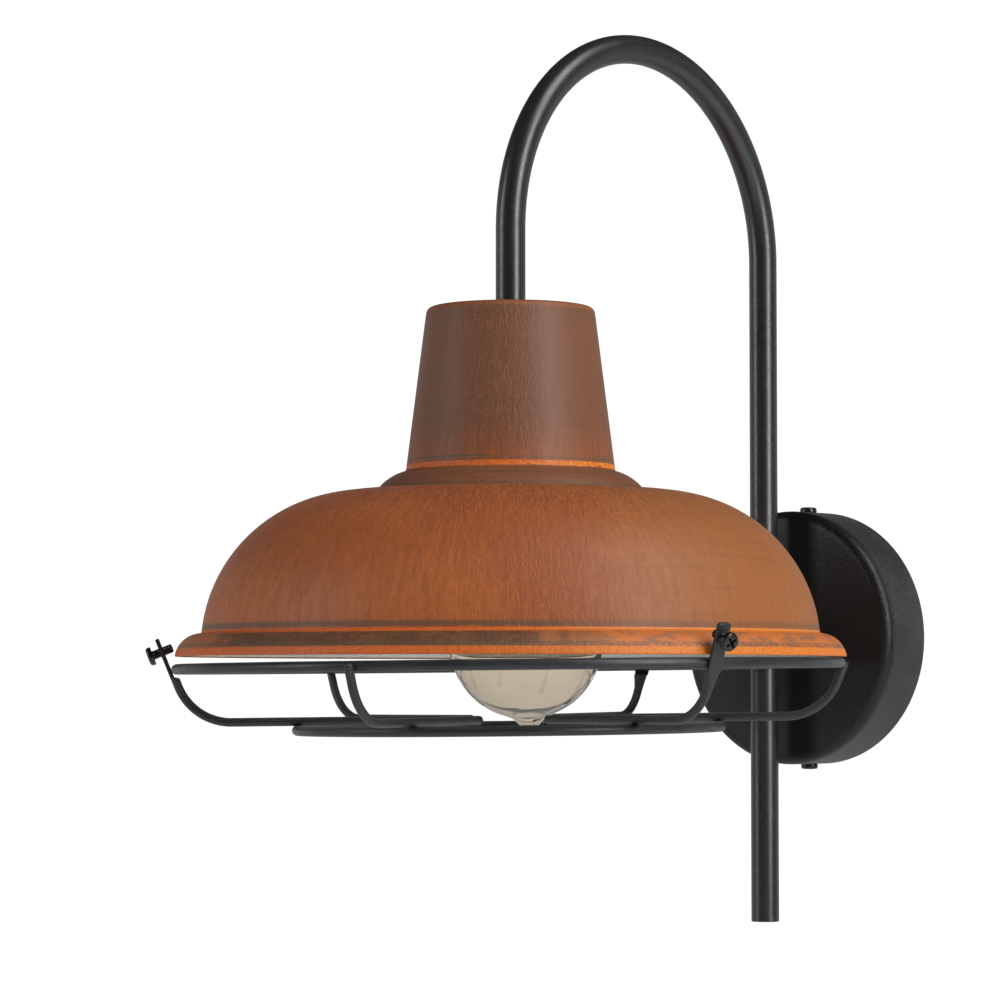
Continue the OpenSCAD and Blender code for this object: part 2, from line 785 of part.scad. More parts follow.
// Two brass terminals on the ceramic disc, with their pins
module holder_terminals() {
    color("goldenrod") hang() for (side = [-1, 1]) translate([side * terminal_x, 0, -insert_top]) {
        translate([-terminal_w / 2, -terminal_w / 2, 0]) cube([terminal_w, terminal_w, terminal_h]);
        translate([0, 0, -pin_l]) cylinder(d = pin_d, h = pin_l);
    }
}

// Brass thread shell that the bulb screws into
module holder_thread() {
    color("goldenrod") hang() rotate_extrude() difference() {
        square_down(thread_r + thread_wall, -insert_low, holder_low - insert_low - thread_up);
        square_down(thread_r, -insert_low - thread_wall, holder_l);
        square_down(contact_r + tongue_room, -insert_low + 1, 2 + thread_wall);
    }
}

// Sprung centre contact, a bent brass tongue
module holder_contact() {
    tongue_low = bulb_seat - seat_gap;
    color("goldenrod") hang() {
        translate([-contact_r, -tongue_w / 2, -insert_low - contact_t])
            cube([2 * contact_r, tongue_w, contact_t]);
        translate([contact_r - contact_t, -tongue_w / 2, -tongue_low])
            cube([contact_t, tongue_w, tongue_low - insert_low]);
        translate([-contact_r, -tongue_w / 2, -tongue_low])
            cube([2 * contact_r, tongue_w, contact_t]);
        translate([0, 0, -insert_low - contact_t]) cylinder(d = rivet_d, h = rivet_l);
    }
}

// ---- bulb ----

// Solder contact at the end of the cap
module bulb_contact() {
    color("silver") bulb_frame() rotate_extrude() intersection() {
        translate([0, -contact_dome_r]) circle(contact_dome_r);
        square_down(contact_r, 0, contact_h);
    }
}

// Black glass between the contact and the cap
module bulb_insulator() {
    color([0.05, 0.05, 0.06]) bulb_frame() translate([0, 0, -contact_h - insulator_h])
        cylinder(r1 = cap_root_r, r2 = insulator_foot_r, h = insulator_h);
}

// Screw cap with its rolled thread
module bulb_cap() {
    top = contact_h + insulator_h;
    color("silver") bulb_frame() rotate_extrude() difference() {
        union() {
            square_down(cap_root_r, -top, cap_l - top);
            for (turn = [0 : thread_turns - 1])
                translate([cap_root_r, -top - roll_down - turn * thread_pitch]) circle(roll_r);
        }
        square_down(cap_root_r - cap_wall, 0, cap_l + 1);
    }
}

// Half section of the bulb's glass, or of its hollow when set in by a wall
module glass_profile(inset) {
    tip_mid = bulb_r + tip_l - tip_r;
    rise = bulb_mid - bulb_neck_down;
    tangent = atan2(rise, bulb_neck_r) - acos(bulb_r / norm([rise, bulb_neck_r]));
    round = bulb_r - inset;
    tip = tip_r - inset;
    glass_top = bulb_mid - stem_top + (inset > 0 ? 1 : 0);
    translate([0, -bulb_mid]) {
        intersection() {
            union() {
                circle(round);
                translate([0, -tip_mid]) circle(tip);
                polygon([[0, 0], [0, -tip_mid],
                         [tip * cos(tip_blend), -tip_mid - tip * sin(tip_blend)],
                         [round * sin(tip_blend), -round * cos(tip_blend)]]);
            }
            translate([0, -bulb_d]) square([bulb_d, 2 * bulb_d]);
        }
        polygon([[0, glass_top], [0, 0], [round * cos(tangent), round * sin(tangent)],
                 [bulb_neck_r - inset, rise], [neck_glass_r - inset, bulb_mid - cap_l],
                 [neck_glass_r - inset, glass_top]]);
    }
}

// Clear glass, pear-shaped, with the tip that closes it
module bulb_glass() {
    color([0.86, 0.83, 0.76, 0.4]) bulb_frame() rotate_extrude() difference() {
        glass_profile(0);
        glass_profile(glass_wall);
    }
}

// Glass foot that closes the neck, with the post for the supports
module bulb_stem() {
    color([0.86, 0.86, 0.84, 0.5]) bulb_frame() {
        translate([0, 0, -stem_top]) cylinder(r = neck_glass_r, h = foot_t);
        translate([0, 0, -stem_top - stem_l]) cylinder(r1 = stem_low_r, r2 = stem_r, h = stem_l);
        translate([0, 0, -filament_low]) cylinder(r = post_r, h = filament_low - stem_top - stem_l);
        translate([0, 0, -filament_low]) sphere(button_r);
    }
}

// Two lead-in wires from the cap to the first and last supports
module bulb_leads() {
    color("goldenrod") bulb_frame() for (side = [-1, 1])
        rod_between([side * lead_foot_r, 0, -stem_top - seat_gap],
                    [side * lead_hook_r, 0, -filament_top + support_d], support_d);
}

// Hooks that hold the filament, above and below
module filament_supports() {
    step = 360 / filament_strands;
    color("silver") bulb_frame() {
        difference() {
            union() {
                for (hook = [0 : filament_strands - 1]) rotate(hook * step) {
                    rod_between([0, 0, -filament_top], [filament_top_r, 0, -filament_top], support_d);
                    rotate(step / 2) rod_between([0, 0, hook_up - filament_low],
                                                 [filament_low_r, 0, hook_up - filament_low], support_d);
                }
            }
            translate([0, 0, -filament_low - button_r]) cylinder(r = post_r, h = filament_low);
            translate([0, 0, -filament_low]) sphere(button_r);
        }
    }
}

// Carbon thread, zigzag between the hooks
module filament() {
    step = 360 / filament_strands;
    reach = filament_d / 2 + seat_gap;
    function high(hook) = [(filament_top_r + reach) * cos(hook * step),
                           (filament_top_r + reach) * sin(hook * step), -filament_top];
    function low(hook) = [(filament_low_r + reach) * cos((hook + 0.5) * step),
                          (filament_low_r + reach) * sin((hook + 0.5) * step), hook_up - filament_low];
    color("darkorange") bulb_frame() for (hook = [0 : filament_strands - 1]) {
        knee(high(hook), filament_d);
        rod_between(high(hook), low(hook), filament_d);
        knee(low(hook), filament_d);
        if (hook < filament_strands - 1) rod_between(low(hook), high(hook + 1), filament_d);
    }
}

// ---- cage ----

// Torus of ring wire
module wire_ring(r, up) {
    translate([0, 0, up]) rotate_extrude() translate([r, 0]) circle(d = ring_wire);
}

module cage_upper_ring() {
    color([0.1, 0.1, 0.11]) cage_frame() wire_ring(ring_r, 0);
}

module cage_lower_ring() {
    color([0.1, 0.1, 0.11]) cage_frame() wire_ring(lower_ring_d / 2, lower_ring_z);
}

// Bent rib wire in the plane of +X. off is how far its straight end lies
// outside the upper ring's wire, and up is where that end stops.
module rib_rod(off, up) {
    turn = 90 - clip_lean;
    foot_x = ring_r + off * cos(clip_lean);
    foot_z = -off * sin(clip_lean);
    bend_end_z = -cage_depth + rib_bend_r * (1 - cos(turn));
    bend_end_x = foot_x + (bend_end_z - foot_z) * tan(clip_lean);
    bend_x = bend_end_x - rib_bend_r * sin(turn);
    end_round = rib_wire * 0.2;
    translate([rib_end_r + end_round, 0, -cage_depth]) rotate([0, 90, 0])
        cylinder(d = rib_wire, h = bend_x - rib_end_r - end_round);
    translate([rib_end_r, 0, -cage_depth]) rotate([0, 90, 0])
        cylinder(d1 = rib_wire - 2 * end_round, d2 = rib_wire, h = end_round);
    translate([bend_x, 0, -cage_depth + rib_bend_r]) rotate([90, 0, 0])
        rotate_extrude(angle = turn, start = -90) translate([rib_bend_r, 0]) circle(d = rib_wire);
    translate([bend_end_x, 0, bend_end_z]) {
        sphere(d = rib_wire * bend_share);
        rotate([0, clip_lean, 0]) cylinder(d = rib_wire, h = (up - bend_end_z) / cos(clip_lean));
    }
}

// Rib whose end is welded to the outside of the upper ring
module plain_rib(heading) {
    color([0.1, 0.1, 0.11]) cage_frame() rotate(heading) difference() {
        rib_rod(plain_rod_off, plain_end_up);
        rotate(-heading) wire_ring(ring_r, 0);
        rotate(-heading) wire_ring(lower_ring_d / 2, lower_ring_z);
    }
}

module cage_rib_left() plain_rib(60);
module cage_rib_right() plain_rib(180);
module cage_rib_back() plain_rib(300);

// Flattened end of a clip rib, with the thread for its clamp screw
module clip_plate(up) {
    low = along_clip(-rod_end_down, clip_mid_off) - clip_taper;
    high = along_clip(up, clip_mid_off);
    corner = clip_w * 0.15;
    translate([ring_r, 0, 0]) rotate([0, clip_lean, 0])
        translate([clip_face, 0, 0]) rotate([90, 0, 90]) linear_extrude(clip_t) {
            polygon([[-rib_wire / 2, low], [rib_wire / 2, low], [clip_w / 2, low + clip_taper],
                     [clip_w / 2, high - corner], [clip_w / 2 - corner, high],
                     [-clip_w / 2 + corner, high], [-clip_w / 2, high - corner],
                     [-clip_w / 2, low + clip_taper]]);
        }
}

// Rib that runs up past the upper ring and is hammered flat into a clip
module clip_rib(heading) {
    color([0.1, 0.1, 0.11]) cage_frame() rotate(heading) difference() {
        union() {
            rib_rod(clip_rod_off, -rod_end_down);
            clip_plate(clip_top(heading));
        }
        clamp_axis(heading) cylinder(d = clamp_screw_d + 2 * thread_gap, h = 4 * clip_t, center = true);
        rotate(-heading) wire_ring(ring_r, 0);
        rotate(-heading) wire_ring(lower_ring_d / 2, lower_ring_z);
    }
}

module clip_rib_1() clip_rib(0);
module clip_rib_2() clip_rib(120);
module clip_rib_3() clip_rib(240);

// Frame of a clamp screw: its origin is the middle of the clip plate and +Z
// points out along the screw, towards its head
module clamp_axis(heading) {
    translate([ring_r, 0, 0]) rotate([0, clip_lean, 0])
        translate([clip_mid_off, 0, along_clip(clamp_top(heading), clip_mid_off)])
            rotate([0, 90, 0]) children();
}

// Screw through a clip, with its tip against the shade's rim
module clamp_screw(heading) {
    color([0.06, 0.06, 0.07]) cage_frame() rotate(heading) clamp_axis(heading)
        translate([0, 0, clamp_screw_l - clamp_in(heading)]) pan_screw(clamp_screw_d, clamp_screw_l);
}

module clamp_screw_1() clamp_screw(0);
module clamp_screw_2() clamp_screw(120);
module clamp_screw_3() clamp_screw(240);

wall_bracket();
earth_screw();
earth_lug();
earth_lead();
terminal_block();
terminal_barrels();
terminal_screws();
canopy();
canopy_screws();
arm_stub();
arm_collar();
stub_washer();
stub_nut();
gooseneck_tube();
tube_end_plug();
live_core();
neutral_core();
top_nipple();
top_washer();
top_nut();
shade();
holder_cap();
holder_shell();
holder_insert();
holder_terminals();
holder_thread();
holder_contact();
bulb_contact();
bulb_insulator();
bulb_cap();
bulb_glass();
bulb_stem();
bulb_leads();
filament_supports();
filament();
cage_upper_ring();
cage_lower_ring();
cage_rib_left();
cage_rib_right();
cage_rib_back();
clip_rib_1();
clip_rib_2();
clip_rib_3();
clamp_screw_1();
clamp_screw_2();
clamp_screw_3();
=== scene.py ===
import bpy
import numpy as np
from mathutils import Matrix


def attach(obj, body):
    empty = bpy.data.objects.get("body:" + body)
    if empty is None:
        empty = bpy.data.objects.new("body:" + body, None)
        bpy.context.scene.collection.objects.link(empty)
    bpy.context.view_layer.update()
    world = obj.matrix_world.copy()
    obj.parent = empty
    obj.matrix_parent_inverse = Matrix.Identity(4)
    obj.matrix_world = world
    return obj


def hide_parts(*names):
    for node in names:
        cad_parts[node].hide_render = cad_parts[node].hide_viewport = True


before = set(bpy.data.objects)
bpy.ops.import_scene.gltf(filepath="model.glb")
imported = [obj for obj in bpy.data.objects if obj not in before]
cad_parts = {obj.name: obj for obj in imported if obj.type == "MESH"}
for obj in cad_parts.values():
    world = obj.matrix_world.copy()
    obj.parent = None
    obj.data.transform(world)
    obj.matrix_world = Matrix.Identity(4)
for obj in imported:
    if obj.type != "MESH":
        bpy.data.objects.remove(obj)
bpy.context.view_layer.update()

# ---------------------------------------------------------------------------
# The studio. A white surround that gloss sees as dark on the camera's side,
# softboxes right, left and above, and a pale floor well below the light. The
# camera stands where the photograph was taken, looking slightly up.
# ---------------------------------------------------------------------------
MM = 0.001


class Wire:
    """A shader socket. Arithmetic on it adds Math nodes, and node() adds any other node."""

    def __init__(self, tree, socket=None):
        self.tree = tree
        self.socket = socket

    def node(self, kind, settings=None, sockets=None, output=0):
        """Adds a node, gives it its settings, then its sockets' values or links."""
        made = self.tree.nodes.new(kind)
        for key, value in (settings or {}).items():
            setattr(made, key, value)
        for key, value in (sockets or {}).items():
            if isinstance(value, Wire):
                self.tree.links.new(value.socket, made.inputs[key])
            else:
                made.inputs[key].default_value = value
        return Wire(self.tree, made.outputs[output] if len(made.outputs) else None)

    def math(self, operation, *values):
        """Adds a Math node on these values or wires."""
        return self.node("ShaderNodeMath", {"operation": operation}, dict(enumerate(values)))

    def __add__(self, other):
        return self.math("ADD", self, other)

    def __mul__(self, other):
        return self.math("MULTIPLY", self, other)

    def __sub__(self, other):
        return self.math("SUBTRACT", self, other)

    def __rsub__(self, other):
        return self.math("SUBTRACT", other, self)

    def __abs__(self):
        return self.math("ABSOLUTE", self)

    __radd__ = __add__
    __rmul__ = __mul__

    def between(self, low, high, start=0.0, end=1.0):
        """Runs smoothly from start to end while the value goes from low to high."""
        return self.node("ShaderNodeMapRange", {"interpolation_type": "SMOOTHSTEP"},
                         {0: self, 1: low, 2: high, 3: start, 4: end})

    def colours(self, below, above):
        """One colour where the value is 0, the other where it is 1."""
        return self.node("ShaderNodeMix", {"data_type": "RGBA"}, {0: self, 6: below, 7: above}, 2)

    def stretched(self, x, y, z):
        """The vector with each of its parts multiplied."""
        return self.node("ShaderNodeVectorMath", {"operation": "MULTIPLY"}, {0: self, 1: (x, y, z)})

    def noise(self, scale, detail=2.0, rough=0.5, bend=0.0):
        """Noise at this vector, about 0.5 in the middle."""
        return self.node("ShaderNodeTexNoise", {}, {"Vector": self, "Scale": scale, "Detail": detail,
                                                    "Roughness": rough, "Distortion": bend})

    def bump(self, height, strength=1.0):
        """A normal for a height in metres."""
        return self.node("ShaderNodeBump", {}, {"Height": height, "Strength": strength, "Distance": 1.0})


def new_tree(holder):
    """An empty node tree on a material or a world."""
    holder.use_nodes = True
    holder.node_tree.nodes.clear()
    return Wire(holder.node_tree)


def seen(red, green, blue):
    """A colour as it shows on a screen, 0 to 255 a channel, as linear RGBA."""
    channel = np.array([red, green, blue]) / 255
    linear = np.where(channel <= 0.04045, channel / 12.92, ((channel + 0.055) / 1.055) ** 2.4)
    return (*(float(v) for v in linear), 1.0)


scene = bpy.context.scene
scene.view_settings.view_transform = "Standard"

VIEW_BEARING, VIEW_TILT = 41.68, 92.938
lens = bpy.data.cameras.new("camera")
lens.sensor_width = 36.0
lens.lens = 129.6
lens.clip_end = 100.0
camera = bpy.data.objects.new("camera", lens)
camera.location = (1.03398, -1.39325, -0.0223)
camera.rotation_euler = tuple(np.radians([VIEW_TILT, 0.0, VIEW_BEARING]))
scene.collection.objects.link(camera)
scene.camera = camera

view_turn = np.radians(VIEW_BEARING)
to_camera = np.array([np.sin(view_turn), -np.cos(view_turn), 0.0])
to_right = np.array([np.cos(view_turn), np.sin(view_turn), 0.0])
lamp_middle = np.array([0.0, -0.17, 0.07])

AMBIENT, WHITE = 0.37, 1.05
surround = bpy.data.worlds.new("surround")
scene.world = surround
sky = new_tree(surround)
toward = sky.node("ShaderNodeTexCoord", output="Generated")
behind = sky.node("ShaderNodeVectorMath", {"operation": "DOT_PRODUCT"},
                  {0: toward, 1: tuple(-to_camera)}, "Value")
path = {name: sky.node("ShaderNodeLightPath", output=name)
        for name in ("Is Camera Ray", "Is Glossy Ray", "Is Transmission Ray")}
straight = path["Is Camera Ray"].math("MAXIMUM", path["Is Camera Ray"], path["Is Transmission Ray"])
upward = sky.node("ShaderNodeVectorMath", {"operation": "DOT_PRODUCT"},
                  {0: toward, 1: (0.0, 0.0, 1.0)}, "Value")
mirrored = behind.between(-0.2, 0.5, 0.03, 0.55) * upward.between(0.05, 0.55, 1.0, 0.08)
strength = AMBIENT + path["Is Glossy Ray"] * (mirrored - AMBIENT)
strength = strength + straight * (WHITE - strength)
sky.node("ShaderNodeOutputWorld", {}, {"Surface": sky.node(
    "ShaderNodeBackground", {}, {"Color": (1.0, 1.0, 1.0, 1.0), "Strength": strength})})


def softbox(name, degrees_right, height, distance, width, tall, power):
    """A soft lamp at a bearing to the right of the camera, aimed at the light's middle."""
    bearing = np.radians(degrees_right)
    place = lamp_middle + distance * (np.cos(bearing) * to_camera + np.sin(bearing) * to_right)
    place = place + np.array([0.0, 0.0, height])
    lamp = bpy.data.lights.new(name, "AREA")
    lamp.shape = "RECTANGLE"
    lamp.size = width
    lamp.size_y = tall
    lamp.energy = power
    holder = bpy.data.objects.new(name, lamp)
    aim = Matrix.Identity(3)
    back = place - lamp_middle
    back = back / np.linalg.norm(back)
    across = np.cross([0.0, 0.0, 1.0], back)
    across = across / np.linalg.norm(across)
    up = np.cross(back, across)
    for row in range(3):
        aim[row] = (across[row], up[row], back[row])
    holder.matrix_world = Matrix.Translation(place) @ aim.to_4x4()
    scene.collection.objects.link(holder)


softbox("softbox_right", 47.0, 0.55, 2.0, 0.65, 1.6, 28.0)
softbox("softbox_left", -76.0, 0.45, 2.2, 0.6, 1.6, 12.0)
softbox("softbox_above", 62.0, 1.6, 1.2, 1.1, 1.0, 16.0)

FLOOR_LEVEL = -0.75
FLOOR_R = 3.0
FLOOR_CORNERS = 64
round_floor = np.linspace(0, 2 * np.pi, FLOOR_CORNERS, endpoint=False)
floor_mesh = bpy.data.meshes.new("floor")
floor_mesh.from_pydata(
    np.stack([FLOOR_R * np.cos(round_floor), FLOOR_R * np.sin(round_floor),
              np.full(FLOOR_CORNERS, FLOOR_LEVEL)], -1).tolist(), [], [list(range(FLOOR_CORNERS))])
floor = bpy.data.objects.new("floor", floor_mesh)
scene.collection.objects.link(floor)
pale = bpy.data.materials.new("floor_pale")
ground = new_tree(pale)
spot = ground.node("ShaderNodeTexCoord", output="Object").stretched(1, 1, 0)
away = ground.node("ShaderNodeVectorMath", {"operation": "LENGTH"}, {0: spot}, "Value")
ray = ground.node("ShaderNodeLightPath", output="Is Camera Ray")
matt = ground.node("ShaderNodeBsdfDiffuse", {}, {"Color": (0.82, 0.82, 0.81, 1.0)})
white = ground.node("ShaderNodeEmission", {}, {"Color": (1.0, 1.0, 1.0, 1.0), "Strength": WHITE})
lift = ray * away.between(0.4, 2.6, 0.72, 1.0)
ground.node("ShaderNodeOutputMaterial", {}, {"Surface": ground.node(
    "ShaderNodeMixShader", {}, {0: lift, 1: matt, 2: white})})
floor_mesh.materials.append(pale)

# ---------------------------------------------------------------------------
# The canopy. A cup pressed from 1.2 mm steel, 120 mm across and 30 mm deep,
# with a rounded front edge and a fine black powder coat. Its side is painted a
# lighter grey than its face: a painted sheen.
# ---------------------------------------------------------------------------
CANOPY_R = 60.0
CANOPY_DEEP = 30.0
CANOPY_EDGE = 5.0
SHEET = 1.2
BOLT_HOLE_R = 5.15
# a profile's corners are eased over this many of its finest steps
BELL_STEPS = 4
# as many of a profile's points go by its length as a bend of this many radians takes
EVEN_BEND = 3.5
# points that agree when counted in this many steps a millimetre are one point
POINT_STEPS = 2e4


def arc(x, y, radius, start, end, steps=24):
    """Points on a circle's arc: x + r cos a, y + r sin a, with a in degrees."""
    angle = np.radians(np.linspace(start, end, steps))
    return np.stack([x + radius * np.cos(angle), y + radius * np.sin(angle)], -1)


def softened(corners, round_off, rows, looped=True):
    """A profile with its corners eased by a bell curve and its points closest where it bends.

    Returns the points and how far along the profile each one is.
    """
    line = np.concatenate(corners)
    if looped:
        line = np.vstack([line, line[:1]])
    gone = np.concatenate([[0], np.cumsum(np.linalg.norm(np.diff(line, axis=0), axis=1))])
    apart = np.r_[True, np.diff(gone) > 1e-9]
    line, gone = line[apart], gone[apart]
    fine = round_off / BELL_STEPS
    count = int(gone[-1] / fine)
    even = np.linspace(0, gone[-1], count, endpoint=not looped)
    line = np.stack([np.interp(even, gone, line[:, k]) for k in (0, 1)], -1)
    reach = 3 * BELL_STEPS
    bell = np.exp(-0.5 * (np.arange(-reach, reach + 1) / BELL_STEPS) ** 2)
    bell = bell / bell.sum()
    if looped:
        padded = np.vstack([line[-reach:], line, line[:reach]])
    else:
        padded = np.vstack([2 * line[0] - line[reach:0:-1], line, 2 * line[-1] - line[-2:-reach - 2:-1]])
    line = np.stack([np.convolve(padded[:, k], bell, "valid") for k in (0, 1)], -1)
    step = np.gradient(line, axis=0)
    turn = np.unwrap(np.arctan2(step[:, 1], step[:, 0]))
    bend = np.abs(np.gradient(turn))
    weight = np.cumsum(bend + EVEN_BEND * fine / gone[-1] + 1e-9)
    wanted = np.linspace(weight[0], weight[-1], rows, endpoint=not looped)
    chosen = np.interp(wanted, weight, np.arange(len(line)))
    index = np.arange(len(line))
    line = np.stack([np.interp(chosen, index, line[:, k]) for k in (0, 1)], -1)
    return line, np.interp(chosen, index, even)


def turned(profile, columns):
    """A profile of (radius, height) turned about Z: x = r cos t, y = r sin t."""
    angle = np.linspace(0, 2 * np.pi, columns, endpoint=False)
    return np.stack([np.outer(profile[:, 0], np.cos(angle)), np.outer(profile[:, 0], np.sin(angle)),
                     np.outer(profile[:, 1], np.ones(columns))], -1)


def turning(axis, degrees):
    """The 3 x 3 matrix of a turn about one axis."""
    return np.array(Matrix.Rotation(np.radians(degrees), 3, axis))


def placed(grid, turn, at):
    """The grid turned by a 3 x 3 matrix, then moved."""
    return grid @ np.asarray(turn).T + np.asarray(at)


def surface(name, grids, material, body, replaces, looped=False, marks=None, crease=35.0):
    """One piece from one or more grids of points in millimetres.

    Rows run along the piece and columns close round it, and points that fall on
    each other, as at a pole, become one. marks are values for each grid point,
    and edges sharper than crease degrees stay sharp.
    """
    grids = grids if isinstance(grids, list) else [grids]
    points, quads, start = [], [], 0
    for grid in grids:
        rows, columns = grid.shape[:2]
        number = start + np.arange(rows * columns).reshape(rows, columns)
        number = np.hstack([number, number[:, :1]])
        if looped:
            number = np.vstack([number, number[:1]])
        quads.append(np.stack([number[:-1, :-1], number[1:, :-1], number[1:, 1:], number[:-1, 1:]], -1)
                     .reshape(-1, 4))
        points.append(grid.reshape(-1, 3))
        start += rows * columns
    points, quads = np.vstack(points), np.vstack(quads)
    counted = np.round(points * POINT_STEPS).astype(np.int64)
    kept, which = np.unique(counted, axis=0, return_index=True, return_inverse=True)[1:]
    quads = which.reshape(-1)[quads]
    repeated = quads == np.roll(quads, -1, axis=1)
    whole = quads[~repeated.any(1)]
    three = repeated.sum(1) == 1
    corners = quads[three][~repeated[three]].reshape(-1, 3)
    mesh = bpy.data.meshes.new(name)
    mesh.from_pydata((points[kept] * MM).tolist(), [], whole.tolist() + corners.tolist())
    for key, values in (marks or {}).items():
        values = np.asarray(values, float)
        if values.size == len(points):
            mark = mesh.attributes.new(key, "FLOAT", "POINT")
            mark.data.foreach_set("value", values.reshape(-1)[kept])
        else:
            mark = mesh.attributes.new(key, "FLOAT_VECTOR", "POINT")
            mark.data.foreach_set("vector", values.reshape(-1, 3)[kept].reshape(-1))
    mesh.shade_smooth()
    mesh.set_sharp_from_angle(angle=np.radians(crease))
    mesh.materials.append(material)
    piece = bpy.data.objects.new(name, mesh)
    scene.collection.objects.link(piece)
    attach(piece, body)
    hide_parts(*replaces)


def opened(name):
    """A new material and its tree."""
    material = bpy.data.materials.new(name)
    return material, new_tree(material)


def closed(tree, sockets):
    """Ends a material in a Principled shader with these sockets."""
    shader = tree.node("ShaderNodeBsdfPrincipled", {}, sockets)
    tree.node("ShaderNodeOutputMaterial", {}, {"Surface": shader})


canopy_black, coat = opened("canopy_black")
place = coat.node("ShaderNodeTexCoord", output="Object")
grain = place.noise(900.0, 2.0, 0.6)
cloud = place.noise(30.0, 2.0)
wallward = place.node("ShaderNodeSeparateXYZ", {}, {0: place}, "Y")
# painted sheen: the cup's side is painted a lighter grey than its face, for the light it catches
sheen_side = wallward.between(-(CANOPY_DEEP - 2.5) * MM, -(CANOPY_DEEP - 8.0) * MM)
mottle = (cloud + grain - 0.5).between(0.3, 0.7)
face_tone = mottle.colours(seen(9, 9, 10), seen(17, 17, 18))
side_sheen_tone = mottle.colours(seen(42, 42, 44), seen(56, 56, 58))
closed(coat, {
    "Base Color": sheen_side.colours(face_tone, side_sheen_tone),
    "Roughness": grain.between(0.3, 0.7, 0.36, 0.50),
    "Specular IOR Level": 0.40,
    "Normal": coat.bump(grain * 0.00016, 0.9),
})

canopy_line, _ = softened([
    np.array([[BOLT_HOLE_R, CANOPY_DEEP], [CANOPY_R - CANOPY_EDGE, CANOPY_DEEP]]),
    arc(CANOPY_R - CANOPY_EDGE, CANOPY_DEEP - CANOPY_EDGE, CANOPY_EDGE, 90, 0),
    np.array([[CANOPY_R, 0.0], [CANOPY_R - SHEET, 0.0]]),
    arc(CANOPY_R - CANOPY_EDGE, CANOPY_DEEP - CANOPY_EDGE, CANOPY_EDGE - SHEET, 0, 90),
    np.array([[BOLT_HOLE_R, CANOPY_DEEP - SHEET]])], 0.35, 90)
FACING_OUT = np.array([[1.0, 0.0, 0.0], [0.0, 0.0, -1.0], [0.0, 1.0, 0.0]])
surface("canopy_cup", placed(turned(canopy_line, 192), FACING_OUT, (0, 0, 0)), canopy_black,
        "lamp", ["canopy"], looped=True)

# ---------------------------------------------------------------------------
# The fasteners that show: pan head screws with a cross recess and a rolled
# thread, blackened. Two hold the canopy's side to the bracket.
# ---------------------------------------------------------------------------
screw_black, coat = opened("screw_black")
place = coat.node("ShaderNodeTexCoord", output="Object")
worn = place.noise(900.0, 3.0)
closed(coat, {
    "Base Color": worn.between(0.4, 0.7).colours(seen(17, 17, 18), seen(34, 33, 34)),
    "Metallic": 0.35,
    "Roughness": worn.between(0.3, 0.7, 0.22, 0.40),
    "Coat Weight": 0.4,
    "Coat Roughness": 0.15,
})

# the head's height and slots' width as shares of the thread, then the head's
# edge, the slots' reach and their depth as shares of the head
HEAD_SHARE, SLOT_SHARE = 0.62, 0.13
EDGE_SHARE, REACH_SHARE, DEEP_SHARE = 0.55, 0.62, 0.55
M4, M4_PITCH = 4.0, 0.7


def pan_screw(thread, pitch, length):
    """A pan head over a rolled thread, standing on its seat with the shank down -Z.

    The head is h(r) = rim height + crown, less a cross of two tapered slots; the
    thread's radius goes up and down once a pitch and once a turn.
    """
    head_r, head_h = thread, thread * HEAD_SHARE
    edge = head_h * EDGE_SHARE
    columns = 96
    angle = np.linspace(0, 2 * np.pi, columns, endpoint=False)
    outward = np.linspace(0, head_r - edge * 0.35, 34)
    x = np.outer(outward, np.cos(angle))
    y = np.outer(outward, np.sin(angle))
    crown = head_h - edge * (outward / head_r)[:, None] ** 4 * 0.35 + 0 * x
    half, reach = thread * SLOT_SHARE, head_r * REACH_SHARE
    slots = [np.clip((half - np.abs(across)) / (half * 0.45), 0, 1)
             * np.clip((reach - np.abs(far)) / (head_r * 0.12), 0, 1) for across, far in ((y, x), (x, y))]
    deep = np.maximum(*slots) * head_h * DEEP_SHARE
    top = np.stack([x, y, crown - deep], -1)
    side_line = np.vstack([arc(head_r - edge, head_h - edge * 1.02, edge, 62, 0, 10),
                           [[head_r, 0.15], [head_r - 0.15, 0.0], [thread / 2, 0.0]]])
    down = np.linspace(0, length - 0.3, int(length / pitch * 10))
    wave = (down[:, None] / pitch - angle[None] / (2 * np.pi)) % 1.0
    tooth = np.abs(2 * wave - 1)
    begun = np.clip(down / pitch, 0, 1)[:, None]
    fade = np.clip((length - down) / (pitch * 1.2), 0, 1)[:, None] * begun
    radius = thread / 2 - 0.30 * pitch * (begun - tooth * fade)
    radius = radius - thread * 0.1 * (1 - np.clip((length - down) / (pitch * 0.8), 0, 1))[:, None]
    shank = np.stack([radius * np.cos(angle), radius * np.sin(angle), -down[:, None] + 0 * radius], -1)
    tip = np.stack([shank[-1] * [0.8, 0.8, 1] - [0, 0, 0.3], shank[-1] * [0, 0, 1] - [0, 0, 0.3]])
    return np.concatenate([top, turned(side_line, columns), shank, tip])


SIDE_SCREW_OUT, SIDE_SCREW_L = 10.0, 8.0
surface("canopy_side_screws", [
    placed(pan_screw(M4, M4_PITCH, SIDE_SCREW_L), turning("X", turn), (0, -SIDE_SCREW_OUT, up * CANOPY_R))
    for turn, up in ((0, 1), (180, -1))], screw_black, "lamp", ["canopy_screws"])

# ---------------------------------------------------------------------------
# The arm. One 13 mm steel tube with a 1.5 mm wall, bent round a 90 mm former
# into a wall leg, an arch and a front leg, and painted satin black.
# ---------------------------------------------------------------------------
TUBE_R = 6.5
TUBE_BORE_R = 5.0
ARM_Y = -45.0
BEND_R = 90.0
BEND_UP = 176.0
LAMP_Y = ARM_Y - 2 * BEND_R
TAIL_LOW, TAIL_EDGE = -133.0, 0.3
SHADE_TOP = 141.6
TUBE_COLUMNS = 64

